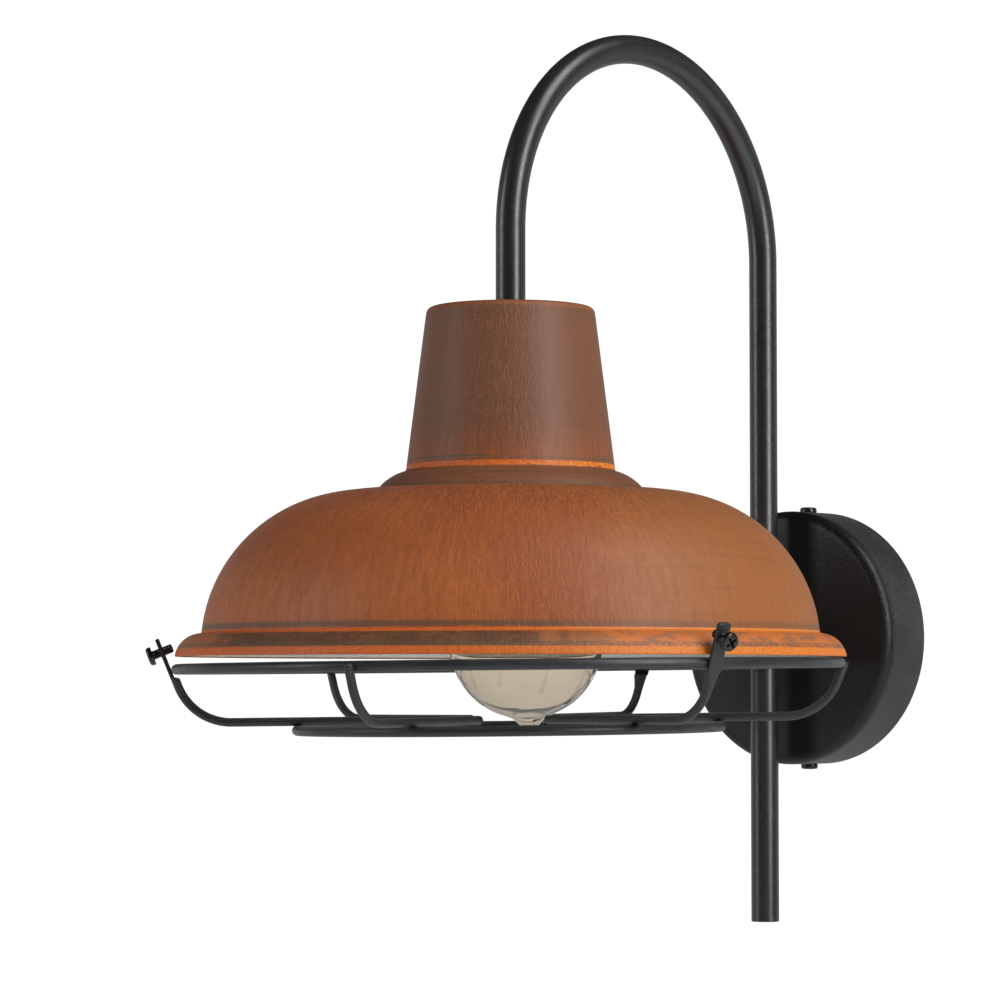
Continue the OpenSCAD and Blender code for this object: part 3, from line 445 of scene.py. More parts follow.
arm_black, coat = opened("arm_black")
place = coat.node("ShaderNodeTexCoord", output="Object")
skin = place.noise(420.0, 3.0, 0.6)
cloud = place.stretched(1, 1, 0.25).noise(60.0, 2.0)
closed(coat, {
    "Base Color": cloud.between(0.3, 0.7).colours(seen(25, 26, 28), seen(31, 32, 34)),
    "Roughness": skin.between(0.3, 0.7, 0.30, 0.38),
    "Specular IOR Level": 0.85,
    "Normal": coat.bump(skin * 0.00003, 0.5),
})


def swept(path, side, section):
    """A section of (side, up) offsets carried along a path that lies in one plane.

    side is the plane's normal, and up = side x the path's direction.
    """
    ahead = np.gradient(path, axis=0)
    ahead = ahead / np.linalg.norm(ahead, axis=1)[:, None]
    up = np.cross(side, ahead)
    section = np.broadcast_to(section, (len(path), *section.shape[-2:]))
    return path[:, None] + section[..., :1] * side + section[..., 1:] * up[:, None]


def ring_of(radius, columns):
    """A circle of (side, up) offsets."""
    angle = np.linspace(0, 2 * np.pi, columns, endpoint=False)
    return radius * np.stack([np.cos(angle), np.sin(angle)], -1)


arch = arc(ARM_Y - BEND_R, BEND_UP, BEND_R, 0, 180, 97)
leg_up = np.linspace(TAIL_LOW, BEND_UP, 40)[:-1]
leg_down = np.linspace(BEND_UP, SHADE_TOP, 10)[1:]
arm_line = np.vstack([np.stack([np.full(len(leg_up), ARM_Y), leg_up], -1), arch,
                      np.stack([np.full(len(leg_down), LAMP_Y), leg_down], -1)])
arm_path = np.column_stack([np.zeros(len(arm_line)), arm_line])
ACROSS = np.array([1.0, 0.0, 0.0])
outside = swept(arm_path, ACROSS, ring_of(TUBE_R, TUBE_COLUMNS))
inside = swept(arm_path, ACROSS, ring_of(TUBE_BORE_R, TUBE_COLUMNS))
rim_start = arm_path[0] + (outside[0] - arm_path[0]) * (TUBE_R - TAIL_EDGE) / TUBE_R
outside[0] = outside[0] + [0, 0, TAIL_EDGE]
surface("arm_tube", np.concatenate([[rim_start], outside, inside[::-1]]), arm_black, "lamp",
        ["gooseneck_tube"], looped=True)

# ---------------------------------------------------------------------------
# The collar between tube and canopy: a turned spacer with a saddle that fits
# the tube, black like the arm. The plug closes the tube's open lower end.
# ---------------------------------------------------------------------------


def refinish(material, *names):
    """Gives CAD nodes a better material."""
    for name in names:
        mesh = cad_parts[name].data
        mesh.materials.clear()
        mesh.materials.append(material)


refinish(arm_black, "arm_collar")

plug_black, coat = opened("plug_black")
place = coat.node("ShaderNodeTexCoord", output="Object")
closed(coat, {"Base Color": place.noise(300.0).between(0.3, 0.7).colours(seen(20, 20, 20), seen(30, 30, 30)),
              "Roughness": 0.6})
PLUG_R = 4.95
PLUG_L = 8.0
plug_corners = np.array([[0.0, PLUG_L], [PLUG_R, PLUG_L], [PLUG_R, 0.0], [3.2, 0.0], [3.0, 0.8], [0.0, 0.8]])
plug_line, _ = softened([plug_corners], 0.25, 40, looped=False)
surface("tube_plug", placed(turned(plug_line, 48), np.eye(3), (0, ARM_Y, TAIL_LOW)), plug_black, "lamp",
        ["tube_end_plug"])

# ---------------------------------------------------------------------------
# The shade. Spun from 1.2 mm steel: neck, shoulder roll, dome and a beaded rim.
# Outside it has a rust undercoat under a brown glaze that is dragged down it
# and rubbed through on the creases; inside it is enamelled white. Its outside
# colour also carries painted light: a painted sheen on the right, painted light
# from below and at the bead's left end, and painted shade by the creases and on the left.
# ---------------------------------------------------------------------------
NECK_TOP_D, NECK_BASE_D, NECK_H, NECK_EDGE = 72.9, 91.0, 71.5, 3.0
SHOULDER_D, SHOULDER_R = 117.2, 22.0
DOME_X, DOME_DOWN, DOME_R = 66.4, 80.4, 67.4
BEAD_X, BEAD_DOWN, BEAD_R = 133.497, 153.4, 11.6
SHADE_H = 151.9

slope = np.arctan((NECK_BASE_D - NECK_TOP_D) / 2 / NECK_H)
neck_edge_x = NECK_TOP_D / 2 + NECK_EDGE * np.tan(slope) - NECK_EDGE / np.cos(slope)
shoulder_run = np.array([(SHOULDER_D - NECK_BASE_D) / 2, NECK_H - DOME_DOWN])
chord = np.hypot(*shoulder_run)
shoulder_in = np.array([shoulder_run[1], -shoulder_run[0]]) / chord
shoulder_middle = (np.array([NECK_BASE_D / 2, -NECK_H]) + shoulder_run / 2
                   + np.sqrt(SHOULDER_R ** 2 - chord ** 2 / 4) * shoulder_in)
DOME_MIDDLE = np.array([DOME_X, -DOME_DOWN - DOME_R])
BEAD_MIDDLE = np.array([BEAD_X, -BEAD_DOWN])


def crossing(first, first_r, second, second_r):
    """The outer point where two circles cross, and its direction in degrees from each middle.

    It lies (d^2 + r1^2 - r2^2) / 2d along the line between them.
    """
    line = second - first
    apart = np.hypot(*line)
    share = (apart ** 2 + first_r ** 2 - second_r ** 2) / (2 * apart)
    angle = np.arctan2(line[1], line[0]) + np.arccos(share / first_r)
    meet = first + first_r * np.array([np.cos(angle), np.sin(angle)])
    return meet, [np.degrees(np.arctan2(*(meet - middle)[::-1])) for middle in (first, second)]


def skin_line(inset):
    """The shade's section from its hole to its rim, set in by a wall: four arcs and the flats between."""
    neck_r, shoulder_r, dome_r, bead_r = (r - inset for r in (NECK_EDGE, SHOULDER_R, DOME_R, BEAD_R))
    foot_x = NECK_BASE_D / 2 - inset / np.cos(slope)
    shoulder_start = np.degrees(np.arccos((foot_x - shoulder_middle[0]) / shoulder_r))
    shoulder_end = np.degrees(np.arcsin((-DOME_DOWN - inset - shoulder_middle[1]) / shoulder_r))
    meet, (dome_end, bead_start) = crossing(DOME_MIDDLE, dome_r, BEAD_MIDDLE, bead_r)
    bead_end = np.degrees(np.arcsin((BEAD_DOWN - SHADE_H) / bead_r))
    return np.vstack([
        [[BOLT_HOLE_R, -inset]],
        arc(neck_edge_x, -NECK_EDGE, neck_r, 90, np.degrees(slope)),
        arc(*shoulder_middle, shoulder_r, shoulder_start, shoulder_end),
        arc(*DOME_MIDDLE, dome_r, 90, dome_end, 64),
        arc(*BEAD_MIDDLE, bead_r, bead_start, bead_end, 32),
    ]), meet


outer_line, bead_crease = skin_line(0.0)
inner_line, _ = skin_line(SHEET)
shade_line, shade_along = softened([outer_line, inner_line[::-1]], 0.5, 300)


def along_at(x, down):
    """How far along the shade's profile its outer skin passes this point."""
    skin = shade_along < shade_along.max() / 2
    far = np.hypot(shade_line[skin, 0] - x, shade_line[skin, 1] + down)
    return float(shade_along[skin][far.argmin()])


at_top_edge = along_at(neck_edge_x + 2.1, 0.9)
at_neck_foot = along_at(NECK_BASE_D / 2, NECK_H)
at_shoulder = along_at(SHOULDER_D / 2, DOME_DOWN)
at_bead_crease = along_at(*(bead_crease * [1, -1]))
at_rim = along_at(BEAD_X + BEAD_R - 0.1, SHADE_H)
SHADE_COLUMNS = 240
NECK_DRAG_R, DOME_DRAG_R, BEAD_DRAG_R = 42.0, 105.0, 140.0
round_shade = np.linspace(0, 2 * np.pi, SHADE_COLUMNS, endpoint=False)
shade_grid = placed(turned(shade_line, SHADE_COLUMNS), np.eye(3), (0, LAMP_Y, SHADE_TOP))
along_mark = np.outer(shade_along, np.ones(SHADE_COLUMNS))
# the drag of the glaze keeps its spacing round the neck, and again round the dome
drag_r = np.where(shade_along < at_bead_crease, DOME_DRAG_R, BEAD_DRAG_R)
drag_r = np.where(shade_along < at_shoulder, NECK_DRAG_R, drag_r)
drag_mark = np.stack([np.outer(drag_r, np.cos(round_shade)),
                      np.outer(drag_r, np.sin(round_shade)), along_mark], -1)

shade_rust, coat = opened("shade_rust")
along = coat.node("ShaderNodeAttribute", {"attribute_name": "along"}, output="Fac")
drag = coat.node("ShaderNodeAttribute", {"attribute_name": "drag"}, output="Vector")
place = coat.node("ShaderNodeTexCoord", output="Object")

# glaze over rust: the broad tone, the drag marks, the short wrinkles and the spinning lines
cloud = place.noise(14.0, 3.0, 0.55)
blotch = place.noise(55.0, 3.0, 0.6)
streak = drag.stretched(1.0, 1.0, 0.10).noise(0.55, 4.0, 0.6, 0.3)
wrinkle = drag.stretched(1.0, 1.0, 0.30).noise(0.78, 1.5, 0.5, 1.2)
hair = drag.stretched(1.0, 1.0, 0.32).noise(2.3, 2.0, 0.6, 0.5)
spun = drag.stretched(0.015, 0.015, 1.0).noise(1.1, 3.0, 0.6)
speck = place.noise(1300.0, 1.0)

on_neck = along.between(at_neck_foot - 30.0, at_neck_foot + 2.0, 1.0, 0.45)
on_neck = on_neck * along.between(at_neck_foot, at_neck_foot + 2.0, 1.0, 0.0)
on_shoulder = (along.between(at_neck_foot, at_neck_foot + 2.0)
               * along.between(at_shoulder - 2.0, at_shoulder + 1.0, 1.0, 0.0))
near_top = (abs(along - at_top_edge)).between(3.0, 13.0, 1.0, 0.0)
on_dome = along.between(at_shoulder, at_shoulder + 2.0)
over_dome = along.between(at_shoulder + 2.0, at_shoulder + 70.0, 1.0, 0.20) * on_dome
on_bead = (along.between(at_bead_crease + 3.2, at_bead_crease + 4.4)
           * along.between(at_rim - 4.4, at_rim - 3.0, 1.0, 0.0))
# millimetres to the right of the shade's axis, along a line that stays with the light
axis_right = LAMP_Y * float(to_right[1])
rightward = place.node("ShaderNodeVectorMath", {"operation": "DOT_PRODUCT"},
                       {0: place, 1: tuple(to_right)}, "Value") * 1000.0 - axis_right

# the drag marks are fainter towards the light's right side, and the turned ones stronger
calm = rightward.between(20.0, 110.0, 1.0, 0.40)
rust = cloud.between(0.35, 0.68).colours(seen(146, 70, 20), seen(160, 84, 27))
# painted sheen: towards the light's right side the dome's rust is painted paler and greyer, standing in for
# the right softbox's sheen
rust = (rightward.between(10.0, 80.0) * on_dome * 0.7).colours(rust, seen(150, 92, 38))
# painted light from below: the low dome is painted a lighter orange on its left and middle
low_dome_uplight = along.between(at_bead_crease - 50.0, at_bead_crease - 10.0)
low_dome_uplight = low_dome_uplight * rightward.between(-60.0, 40.0, 1.0, 0.0)
rust = (low_dome_uplight * 0.50).colours(rust, seen(184, 102, 38))
rust = (streak.between(0.42, 0.72) * calm * 0.40).colours(rust, seen(122, 60, 26))
cover = on_neck * 1.02 + on_shoulder * 0.85 + near_top * 0.10
cover = cover + (streak - 0.5) * calm * 0.60 + (blotch - 0.5) * 0.40 + (spun - 0.5) * 0.40
brown = cover.between(0.0, 1.0).colours(rust, seen(113, 68, 40))
patina = near_top * 0.25 + on_shoulder * (0.20 + (spun - 0.5) * 2.2)
brown = patina.between(0.0, 1.0).colours(brown, seen(84, 56, 36))
middle = (abs(rightward + 5.0)).between(8.0, 22.0, 1.0, 0.0)
crumpled = over_dome * calm * 0.62 + on_neck * middle * 0.20 + 0.05
brown = (wrinkle.between(0.50, 0.62) * crumpled * 0.8).colours(brown, seen(84, 43, 22))
brown = (wrinkle.between(0.34, 0.46, 1.0, 0.0) * crumpled * 0.45).colours(brown, seen(196, 116, 58))
brown = (hair.between(0.54, 0.72) * calm * 0.10).colours(brown, seen(84, 46, 26))
turned_marks = spun.between(0.52, 0.66) * (0.22 - calm * 0.10 + on_shoulder * 0.30)
brown = turned_marks.colours(brown, seen(84, 52, 34))
brown = speck.between(0.76, 0.81).colours(brown, seen(200, 134, 88))

# the bead is brushed dark on one side of the light and worn to rust on the other; its far left end, as the
# camera sees it, is painted a lighter rust, painted light where the left lamp grazes it
wander = drag.stretched(1.0, 1.0, 0.3).noise(0.09, 3.0)
ragged = drag.stretched(1.0, 1.0, 1.2).noise(0.8, 4.0, 0.7)
patchy = drag.stretched(0.5, 0.5, 1.0).noise(0.22, 4.0, 0.7)
shift = (wander - 0.5) * 1.6 + (ragged - 0.5) * 2.0
scuffs = drag.stretched(0.16, 0.16, 1.6).noise(1.1, 4.0, 0.75)
lit_left_end = (rightward + (wander - 0.5) * 30.0).between(-126.0, -112.0, 1.0, 0.0)
worn_side = (rightward + (wander - 0.5) * 60.0).between(0.0, 45.0)
bead_tone = worn_side.colours(seen(84, 54, 32), seen(194, 104, 34))
bead_tone = lit_left_end.colours(bead_tone, seen(158, 84, 34))
grey = patchy.between(0.44, 0.62) * (0.25 + worn_side * 0.50)
bead_tone = grey.colours(bead_tone, seen(122, 88, 62))
bead_tone = (scuffs.between(0.56, 0.68) * 0.75).colours(bead_tone, seen(192, 104, 44))
brown = (on_bead * 0.94).colours(brown, bead_tone)


def rubbed(middle, half_width, soft):
    """A worn line along one crease, with a wandering, ragged edge."""
    return (abs(along - middle + shift * 0.35) + shift * 0.5).between(half_width, half_width + soft, 1.0, 0.0)


# bright rust where the creases and edges are rubbed through, with dark lines beside four of them: dull glaze,
# and painted shade in the creases, heavier on the left beside the bead
dull_and_crease_shade = rubbed(at_bead_crease - 2.5, 0.6, 1.2) * worn_side.between(0.0, 1.0, 1.0, 0.55)
dull_and_crease_shade = dull_and_crease_shade.math("MAXIMUM", dull_and_crease_shade, rubbed(at_shoulder - 0.9, 0.4, 0.7))
dull_and_crease_shade = dull_and_crease_shade.math("MAXIMUM", dull_and_crease_shade, rubbed(at_neck_foot - 4.2, 0.5, 1.2) * spun.between(0.40, 0.55))
dull_and_crease_shade = dull_and_crease_shade.math("MAXIMUM", dull_and_crease_shade, rubbed(at_rim - 4.4, 0.8, 1.0) * ragged.between(0.40, 0.56))
brown = (dull_and_crease_shade * 0.75).colours(brown, seen(88, 70, 48))
thin = ragged.between(0.36, 0.62)
lines = rubbed(at_neck_foot - 1.4, 0.85, 0.40)
lines = lines.math("MAXIMUM", lines, rubbed(at_shoulder + 0.8, 0.35, 0.6) * (0.30 + thin * 0.35))
lines = lines.math("MAXIMUM", lines, rubbed(at_bead_crease + 1.4, 2.0, 0.5) * (0.80 + thin * 0.2))
lines = lines.math("MAXIMUM", lines, rubbed(at_rim - 1.3, 1.8, 0.9) * (0.60 + thin * 0.4))
lines = lines.math("MAXIMUM", lines, rubbed(at_top_edge + 0.5, 0.6, 1.4) * thin * 0.35)
# painted shade: the rubbed-through lines are painted a darker orange on the left, away from the lamps
painted_shade_side = (rightward + (wander - 0.5) * 90.0).between(-30.0, 60.0, 1.0, 0.0)
bright = painted_shade_side.colours(seen(230, 128, 14), seen(210, 96, 6))
bright = (ragged.between(0.46, 0.60) * 0.60).colours(bright, seen(150, 66, 20))
brown = lines.colours(brown, bright)
# pale scratches above the bead's crease on the right: scratches, painted as the highlights they catch there
scratch_glints = rubbed(at_bead_crease - 0.7, 0.15, 0.35) * worn_side * ragged.between(0.46, 0.58)
brown = (scratch_glints * 0.6).colours(brown, seen(196, 158, 112))

# the inside is white enamel, from the rim's inner edge up
ripples = wrinkle * (0.00003 + crumpled * 0.00200)
relief = ripples + hair * 0.00006 + spun * (0.00005 + on_shoulder * 0.0002)
lining = along.between(at_rim + 1.6, at_rim + 2.1)
enamel = cloud.between(0.3, 0.7).colours(seen(236, 234, 229), seen(244, 243, 240))
closed(coat, {
    "Base Color": lining.colours(brown, enamel),
    "Roughness": (streak.between(0.2, 0.8, 0.54, 0.64) + lines * 0.05) * (1.0 - lining) + lining * 0.38,
    "Specular IOR Level": 0.45,
    "Coat Weight": (1.0 - lining) * 0.20,
    "Coat Roughness": 0.42,
    "Normal": coat.bump(relief * (1.0 - lining), 0.9),
})
surface("shade_shell", shade_grid, shade_rust, "lamp", ["shade"], looped=True,
        marks={"along": along_mark, "drag": drag_mark}, crease=60.0)

# ---------------------------------------------------------------------------
# The lamp holder. A phenolic cap and skirt round a ceramic disc and a brass
# thread shell. It hangs from the nipple and leans slightly out of plumb.
# ---------------------------------------------------------------------------
HANG_Z = 129.2476
LEAN, LEAN_HEADING = 2.8, 42.0
hang_turn = turning("Z", LEAN_HEADING) @ turning("Y", -LEAN) @ turning("Z", -LEAN_HEADING)
hang_at = np.array([0.0, LAMP_Y, HANG_Z])
HOLDER_R, HOLDER_L, COLLAR_L = 20.0, 57.0, 9.0
CAP_LOW = 24.0
SKIRT_COLUMNS = 144
FLUTES, FLUTE_SHARE = 24, 0.022

phenolic, coat = opened("phenolic")
place = coat.node("ShaderNodeTexCoord", output="Object")
mottle = place.noise(160.0, 3.0)
closed(coat, {"Base Color": mottle.between(0.3, 0.7).colours(seen(22, 21, 20), seen(32, 30, 28)),
              "Roughness": mottle.between(0.3, 0.7, 0.30, 0.42)})
skirt_low = -(HOLDER_L - COLLAR_L / 2)
skirt_corners = np.array([[HOLDER_R, -CAP_LOW], [HOLDER_R, skirt_low + 4.4], [HOLDER_R + 1, skirt_low + 4.0],
                          [HOLDER_R + 1, skirt_low], [14.3, skirt_low], [14.3, -26.3],
                          [18.0, -26.3], [18.0, -CAP_LOW]])
skirt_line, _ = softened([skirt_corners], 0.3, 80)
skirt = turned(skirt_line, SKIRT_COLUMNS)
around = np.linspace(0, 2 * np.pi, SKIRT_COLUMNS, endpoint=False)
skirt_r, skirt_z = skirt_line.T
grip = (skirt_r > HOLDER_R - 0.3) & (skirt_z > skirt_low + 5.5) & (skirt_z < -CAP_LOW - 2)
flute = 1 - FLUTE_SHARE * np.clip(np.cos(around * FLUTES), 0, 1) ** 2
skirt[grip, :, :2] = skirt[grip, :, :2] * flute[None, :, None]
surface("holder_skirt", placed(skirt, hang_turn, hang_at), phenolic, "lamp", ["holder_shell"],
        looped=True)
refinish(phenolic, "holder_cap")

ceramic, coat = opened("ceramic")
place = coat.node("ShaderNodeTexCoord", output="Object")
shades = place.noise(120.0).between(0.3, 0.7)
closed(coat, {"Base Color": shades.colours(seen(228, 226, 218), seen(240, 238, 232)),
              "Roughness": 0.22})
refinish(ceramic, "holder_insert")

brass, coat = opened("brass")
place = coat.node("ShaderNodeTexCoord", output="Object")
tarnish = place.noise(220.0, 4.0, 0.6)
closed(coat, {"Base Color": tarnish.between(0.35, 0.7).colours(seen(212, 176, 104), seen(168, 130, 72)),
              "Metallic": 1.0, "Roughness": tarnish.between(0.3, 0.7, 0.22, 0.42)})
refinish(brass, "holder_terminals", "holder_thread", "holder_contact", "earth_screw", "terminal_barrels")

# ---------------------------------------------------------------------------
# The nipple, stub, washers and nuts that hold shade and arm, and the bracket
# strip on the wall: mild steel, zinc plated.
# ---------------------------------------------------------------------------
zinc, coat = opened("zinc")
place = coat.node("ShaderNodeTexCoord", output="Object")
spangle = place.noise(500.0, 3.0, 0.6)
streaks = place.stretched(1, 1, 0.1).noise(900.0, 2.0)
closed(coat, {"Base Color": spangle.between(0.3, 0.7).colours(seen(188, 190, 192), seen(206, 206, 204)),
              "Metallic": 1.0, "Roughness": spangle.between(0.3, 0.7, 0.30, 0.46),
              "Normal": coat.bump(streaks * 0.00003, 0.5)})
refinish(zinc, "top_nipple", "top_washer", "top_nut", "arm_stub", "stub_washer", "stub_nut", "wall_bracket",
         "earth_lug", "terminal_screws")

# ---------------------------------------------------------------------------
# The wiring: a nylon terminal block on the bracket, and insulated cores that
# run from it through the stub and the whole arm to the lamp holder.
# ---------------------------------------------------------------------------
nylon, coat = opened("nylon")
place = coat.node("ShaderNodeTexCoord", output="Object")
shades = place.noise(200.0).between(0.3, 0.7)
closed(coat, {"Base Color": shades.colours(seen(222, 220, 212), seen(234, 233, 226)),
              "Roughness": 0.45})
refinish(nylon, "terminal_block")
core_tones = (("live_core", (112, 72, 44)), ("neutral_core", (58, 110, 178)), ("earth_lead", (150, 186, 62)))
for core, tone in core_tones:
    sleeve, coat = opened(core + "_sleeve")
    place = coat.node("ShaderNodeTexCoord", output="Object")
    darker = tuple(0.85 * v for v in tone)
    closed(coat, {"Base Color": place.noise(400.0).between(0.3, 0.7).colours(seen(*darker), seen(*tone)),
                  "Roughness": 0.42})
    refinish(sleeve, core)

# ---------------------------------------------------------------------------
# The bulb. Pear-shaped clear glass, blown thin and sealed at a small tip, on a
# nickel-plated screw cap, with a carbon thread strung between hooks inside.
# ---------------------------------------------------------------------------
BULB_SEAT = 31.0
bulb_at = hang_at + hang_turn @ np.array([0.0, 0.0, -BULB_SEAT])
BULB_R, BULB_MID = 33.25, 102.25
TIP_R, TIP_MID = 6.9, 30.35
GLASS = 0.8
NECK_GLASS_R, NECK_LOW = 11.5, 27.0
CONE_R, CONE_LOW = 15.5, 34.0
STEM_TOP = 21.0

glass, coat = opened("clear_glass")
place = coat.node("ShaderNodeTexCoord", output="Object")
seeds = place.noise(38.0, 2.0, 0.4, 0.6)
tone = place.noise(22.0, 2.0)
closed(coat, {
    "Base Color": tone.between(0.3, 0.7).colours(seen(224, 216, 204), seen(214, 206, 192)),
    "Roughness": 0.0,
    "IOR": 1.47,
    "Transmission Weight": 1.0,
    "Normal": coat.bump(seeds * 0.0010, 0.30),
})


def glass_line(inset):
    """The bulb's section down from its neck: a cone, the round, a hollow and the tip's round."""
    rise = BULB_MID - CONE_LOW
    tangent = np.degrees(np.arctan2(rise, CONE_R) - np.arccos(BULB_R / np.hypot(rise, CONE_R)))
    hollow = 9.0
    out = BULB_R + hollow
    down = (out ** 2 - (TIP_R + hollow) ** 2 + TIP_MID ** 2) / (2 * TIP_MID)
    x = np.sqrt(out ** 2 - down ** 2)
    leave = np.degrees(np.arctan2(-down, x))
    arrive = np.degrees(np.arctan2(TIP_MID - down, x))
    return np.vstack([
        [[NECK_GLASS_R - inset, -STEM_TOP], [NECK_GLASS_R - inset, -NECK_LOW], [CONE_R - inset, -CONE_LOW]],
        arc(0, -BULB_MID, BULB_R - inset, tangent, leave, 60),
        arc(x, -BULB_MID - down, hollow + inset, leave + 180, arrive + 180, 16),
        arc(0, -BULB_MID - TIP_MID, TIP_R - inset, arrive, -90, 24),
    ])


outer_glass, _ = softened([glass_line(0.0)], 0.5, 110, looped=False)
inner_glass, _ = softened([glass_line(GLASS)], 0.5, 110, looped=False)
outer_glass[-1, 0] = 0.0
inner_glass[-1, 0] = 0.0
surface("bulb_shell", [placed(turned(outer_glass, 128), hang_turn, bulb_at),
                       placed(turned(inner_glass[::-1], 128), hang_turn, bulb_at)],
        glass, "bulb", ["bulb_glass"], crease=80.0)

stem_glass, coat = opened("stem_glass")
closed(coat, {"Base Color": seen(238, 236, 230), "Roughness": 0.02, "IOR": 1.5, "Transmission Weight": 1.0})
refinish(stem_glass, "bulb_stem")

nickel, coat = opened("cap_nickel")
place = coat.node("ShaderNodeTexCoord", output="Object")
rubs = place.noise(260.0, 4.0, 0.6)
closed(coat, {"Base Color": rubs.between(0.3, 0.7).colours(seen(214, 208, 196), seen(188, 182, 170)),
              "Metallic": 1.0, "Roughness": rubs.between(0.3, 0.7, 0.16, 0.34)})
CAP_ROOT_R, CAP_CREST, CAP_WALL = 12.2, 0.98, 0.4
CAP_TOP, CAP_L, CAP_PITCH = 5.6, 27.0, 3.62
CAP_COLUMNS = 96
cap_rows = np.linspace(-CAP_TOP, -CAP_L, 150)
cap_angle = np.linspace(0, 2 * np.pi, CAP_COLUMNS, endpoint=False)
roll = 0.5 + 0.5 * np.cos(2 * np.pi * (cap_rows[:, None] / CAP_PITCH + cap_angle[None] / (2 * np.pi)))
ends = np.clip((-CAP_TOP - cap_rows) / 1.5, 0, 1) * np.clip((cap_rows + CAP_L - 2.2) / 1.5, 0, 1)
cap_r = CAP_ROOT_R + CAP_CREST * roll * ends[:, None]
cap_z = np.repeat(cap_rows[:, None], CAP_COLUMNS, 1)
outer_cap, inner_cap = (np.stack([r * np.cos(cap_angle), r * np.sin(cap_angle), cap_z], -1)
                        for r in (cap_r, cap_r - CAP_WALL))
surface("bulb_screw_cap", placed(np.concatenate([outer_cap, inner_cap[::-1]]), hang_turn, bulb_at), nickel,
        "bulb", ["bulb_cap"], looped=True)

solder, coat = opened("solder")
place = coat.node("ShaderNodeTexCoord", output="Object")
shades = place.noise(500.0).between(0.3, 0.7)
closed(coat, {"Base Color": shades.colours(seen(176, 176, 172), seen(200, 200, 196)),
              "Metallic": 1.0, "Roughness": 0.38})
refinish(solder, "bulb_contact")
black_glass, coat = opened("black_glass")
closed(coat, {"Base Color": seen(16, 16, 18), "Roughness": 0.08})
refinish(black_glass, "bulb_insulator")
lead_nickel, coat = opened("lead_nickel")
closed(coat, {"Base Color": seen(176, 170, 160), "Metallic": 1.0, "Roughness": 0.3})
refinish(lead_nickel, "bulb_leads", "filament_supports")


def wire(line, radius, columns=10):
    """A round wire along any line: each ring stands square to the line, first spoke outwards."""
    ahead = np.gradient(line, axis=0)
    ahead = ahead / np.linalg.norm(ahead, axis=1)[:, None]
    outward = line * [1, 1, 0] + [1e-6, 0, 0]
    outward = outward - (outward * ahead).sum(1)[:, None] * ahead
    outward = outward / np.linalg.norm(outward, axis=1)[:, None]
    other = np.cross(outward, ahead)
    ring = ring_of(radius, columns)
    rows = line[:, None] + ring[None, :, :1] * outward[:, None] + ring[None, :, 1:] * other[:, None]
    first, last = (np.repeat(end[None, None], columns, 1) for end in (line[0], line[-1]))
    return np.concatenate([first, rows, last])


carbon, coat = opened("carbon_thread")
closed(coat, {"Base Color": seen(96, 60, 36), "Roughness": 0.5})
# a zigzag of 11 strands between the upper and lower hooks, with eased turns
STRANDS, STRAND_TURN = 11, 30.0
THREAD_MID, THREAD_RISE = -76.75, 14.75
THREAD_R, THREAD_IN = 11.5, 1.95
THREAD_WIRE_R = 0.25
EASE, PEAK = 0.985, 0.89
swing = np.linspace(0, STRANDS, 700)
height = np.arcsin(EASE * np.cos(np.pi * swing)) * 2 / np.pi
thread_z = THREAD_MID + THREAD_RISE * height / PEAK
thread_r = THREAD_R - THREAD_IN * height / PEAK
thread_a = np.radians(STRAND_TURN) * swing
thread = np.stack([thread_r * np.cos(thread_a), thread_r * np.sin(thread_a), thread_z], -1)
surface("carbon_filament", placed(wire(thread, THREAD_WIRE_R), hang_turn, bulb_at), carbon, "bulb",
        ["filament"])

# ---------------------------------------------------------------------------
# The cage. Two rings of 4.5 mm wire and six bent ribs of 3.8 mm wire, welded
# and painted charcoal. Three ribs run up past the rim, hammered flat there.
# ---------------------------------------------------------------------------
RING_R, LOWER_RING_R = 143.1, 91.5
RING_WIRE_R, RIB_WIRE_R = 2.25, 1.9
RING_Z, LOWER_RING_Z = -14.2, -26.85
SAG, CLIP_HEADING = 0.6006, -134.0
RIB_FLAT_Z, RIB_END_R, RIB_BEND_R = -23.0, 29.0, 24.5
CLIP_LEAN = 21.5
CAGE_OFF = 1.0
cage_turn = turning("Z", CLIP_HEADING) @ turning("Y", SAG)
cage_at = np.array([0.0, LAMP_Y, RING_Z]) + turning("Z", CLIP_HEADING) @ np.array([CAGE_OFF, 0.0, 0.0])

cage_black, coat = opened("cage_black")
place = coat.node("ShaderNodeTexCoord", output="Object")
skin = place.noise(520.0, 3.0, 0.6)
cloud = place.noise(45.0, 2.0)
closed(coat, {
    "Base Color": cloud.between(0.3, 0.7).colours(seen(33, 35, 37), seen(43, 45, 47)),
    "Roughness": skin.between(0.3, 0.7, 0.34, 0.46),
    "Normal": coat.bump(skin * 0.00005, 0.6),
})


def hoop(radius, wire_r, z, steps=240, columns=24):
    """A torus: a circle of wire carried round the axis."""
    return turned(np.array([radius, z]) + ring_of(wire_r, columns)[::-1], steps)


rim_ring = placed(hoop(RING_R, RING_WIRE_R, 0.0), cage_turn, cage_at)
surface("cage_rim_ring", rim_ring, cage_black, "cage", ["cage_upper_ring"], looped=True)
low_ring = placed(hoop(LOWER_RING_R, RING_WIRE_R, LOWER_RING_Z), cage_turn, cage_at)
surface("cage_low_ring", low_ring, cage_black, "cage", ["cage_lower_ring"], looped=True)

lean = np.radians(CLIP_LEAN)


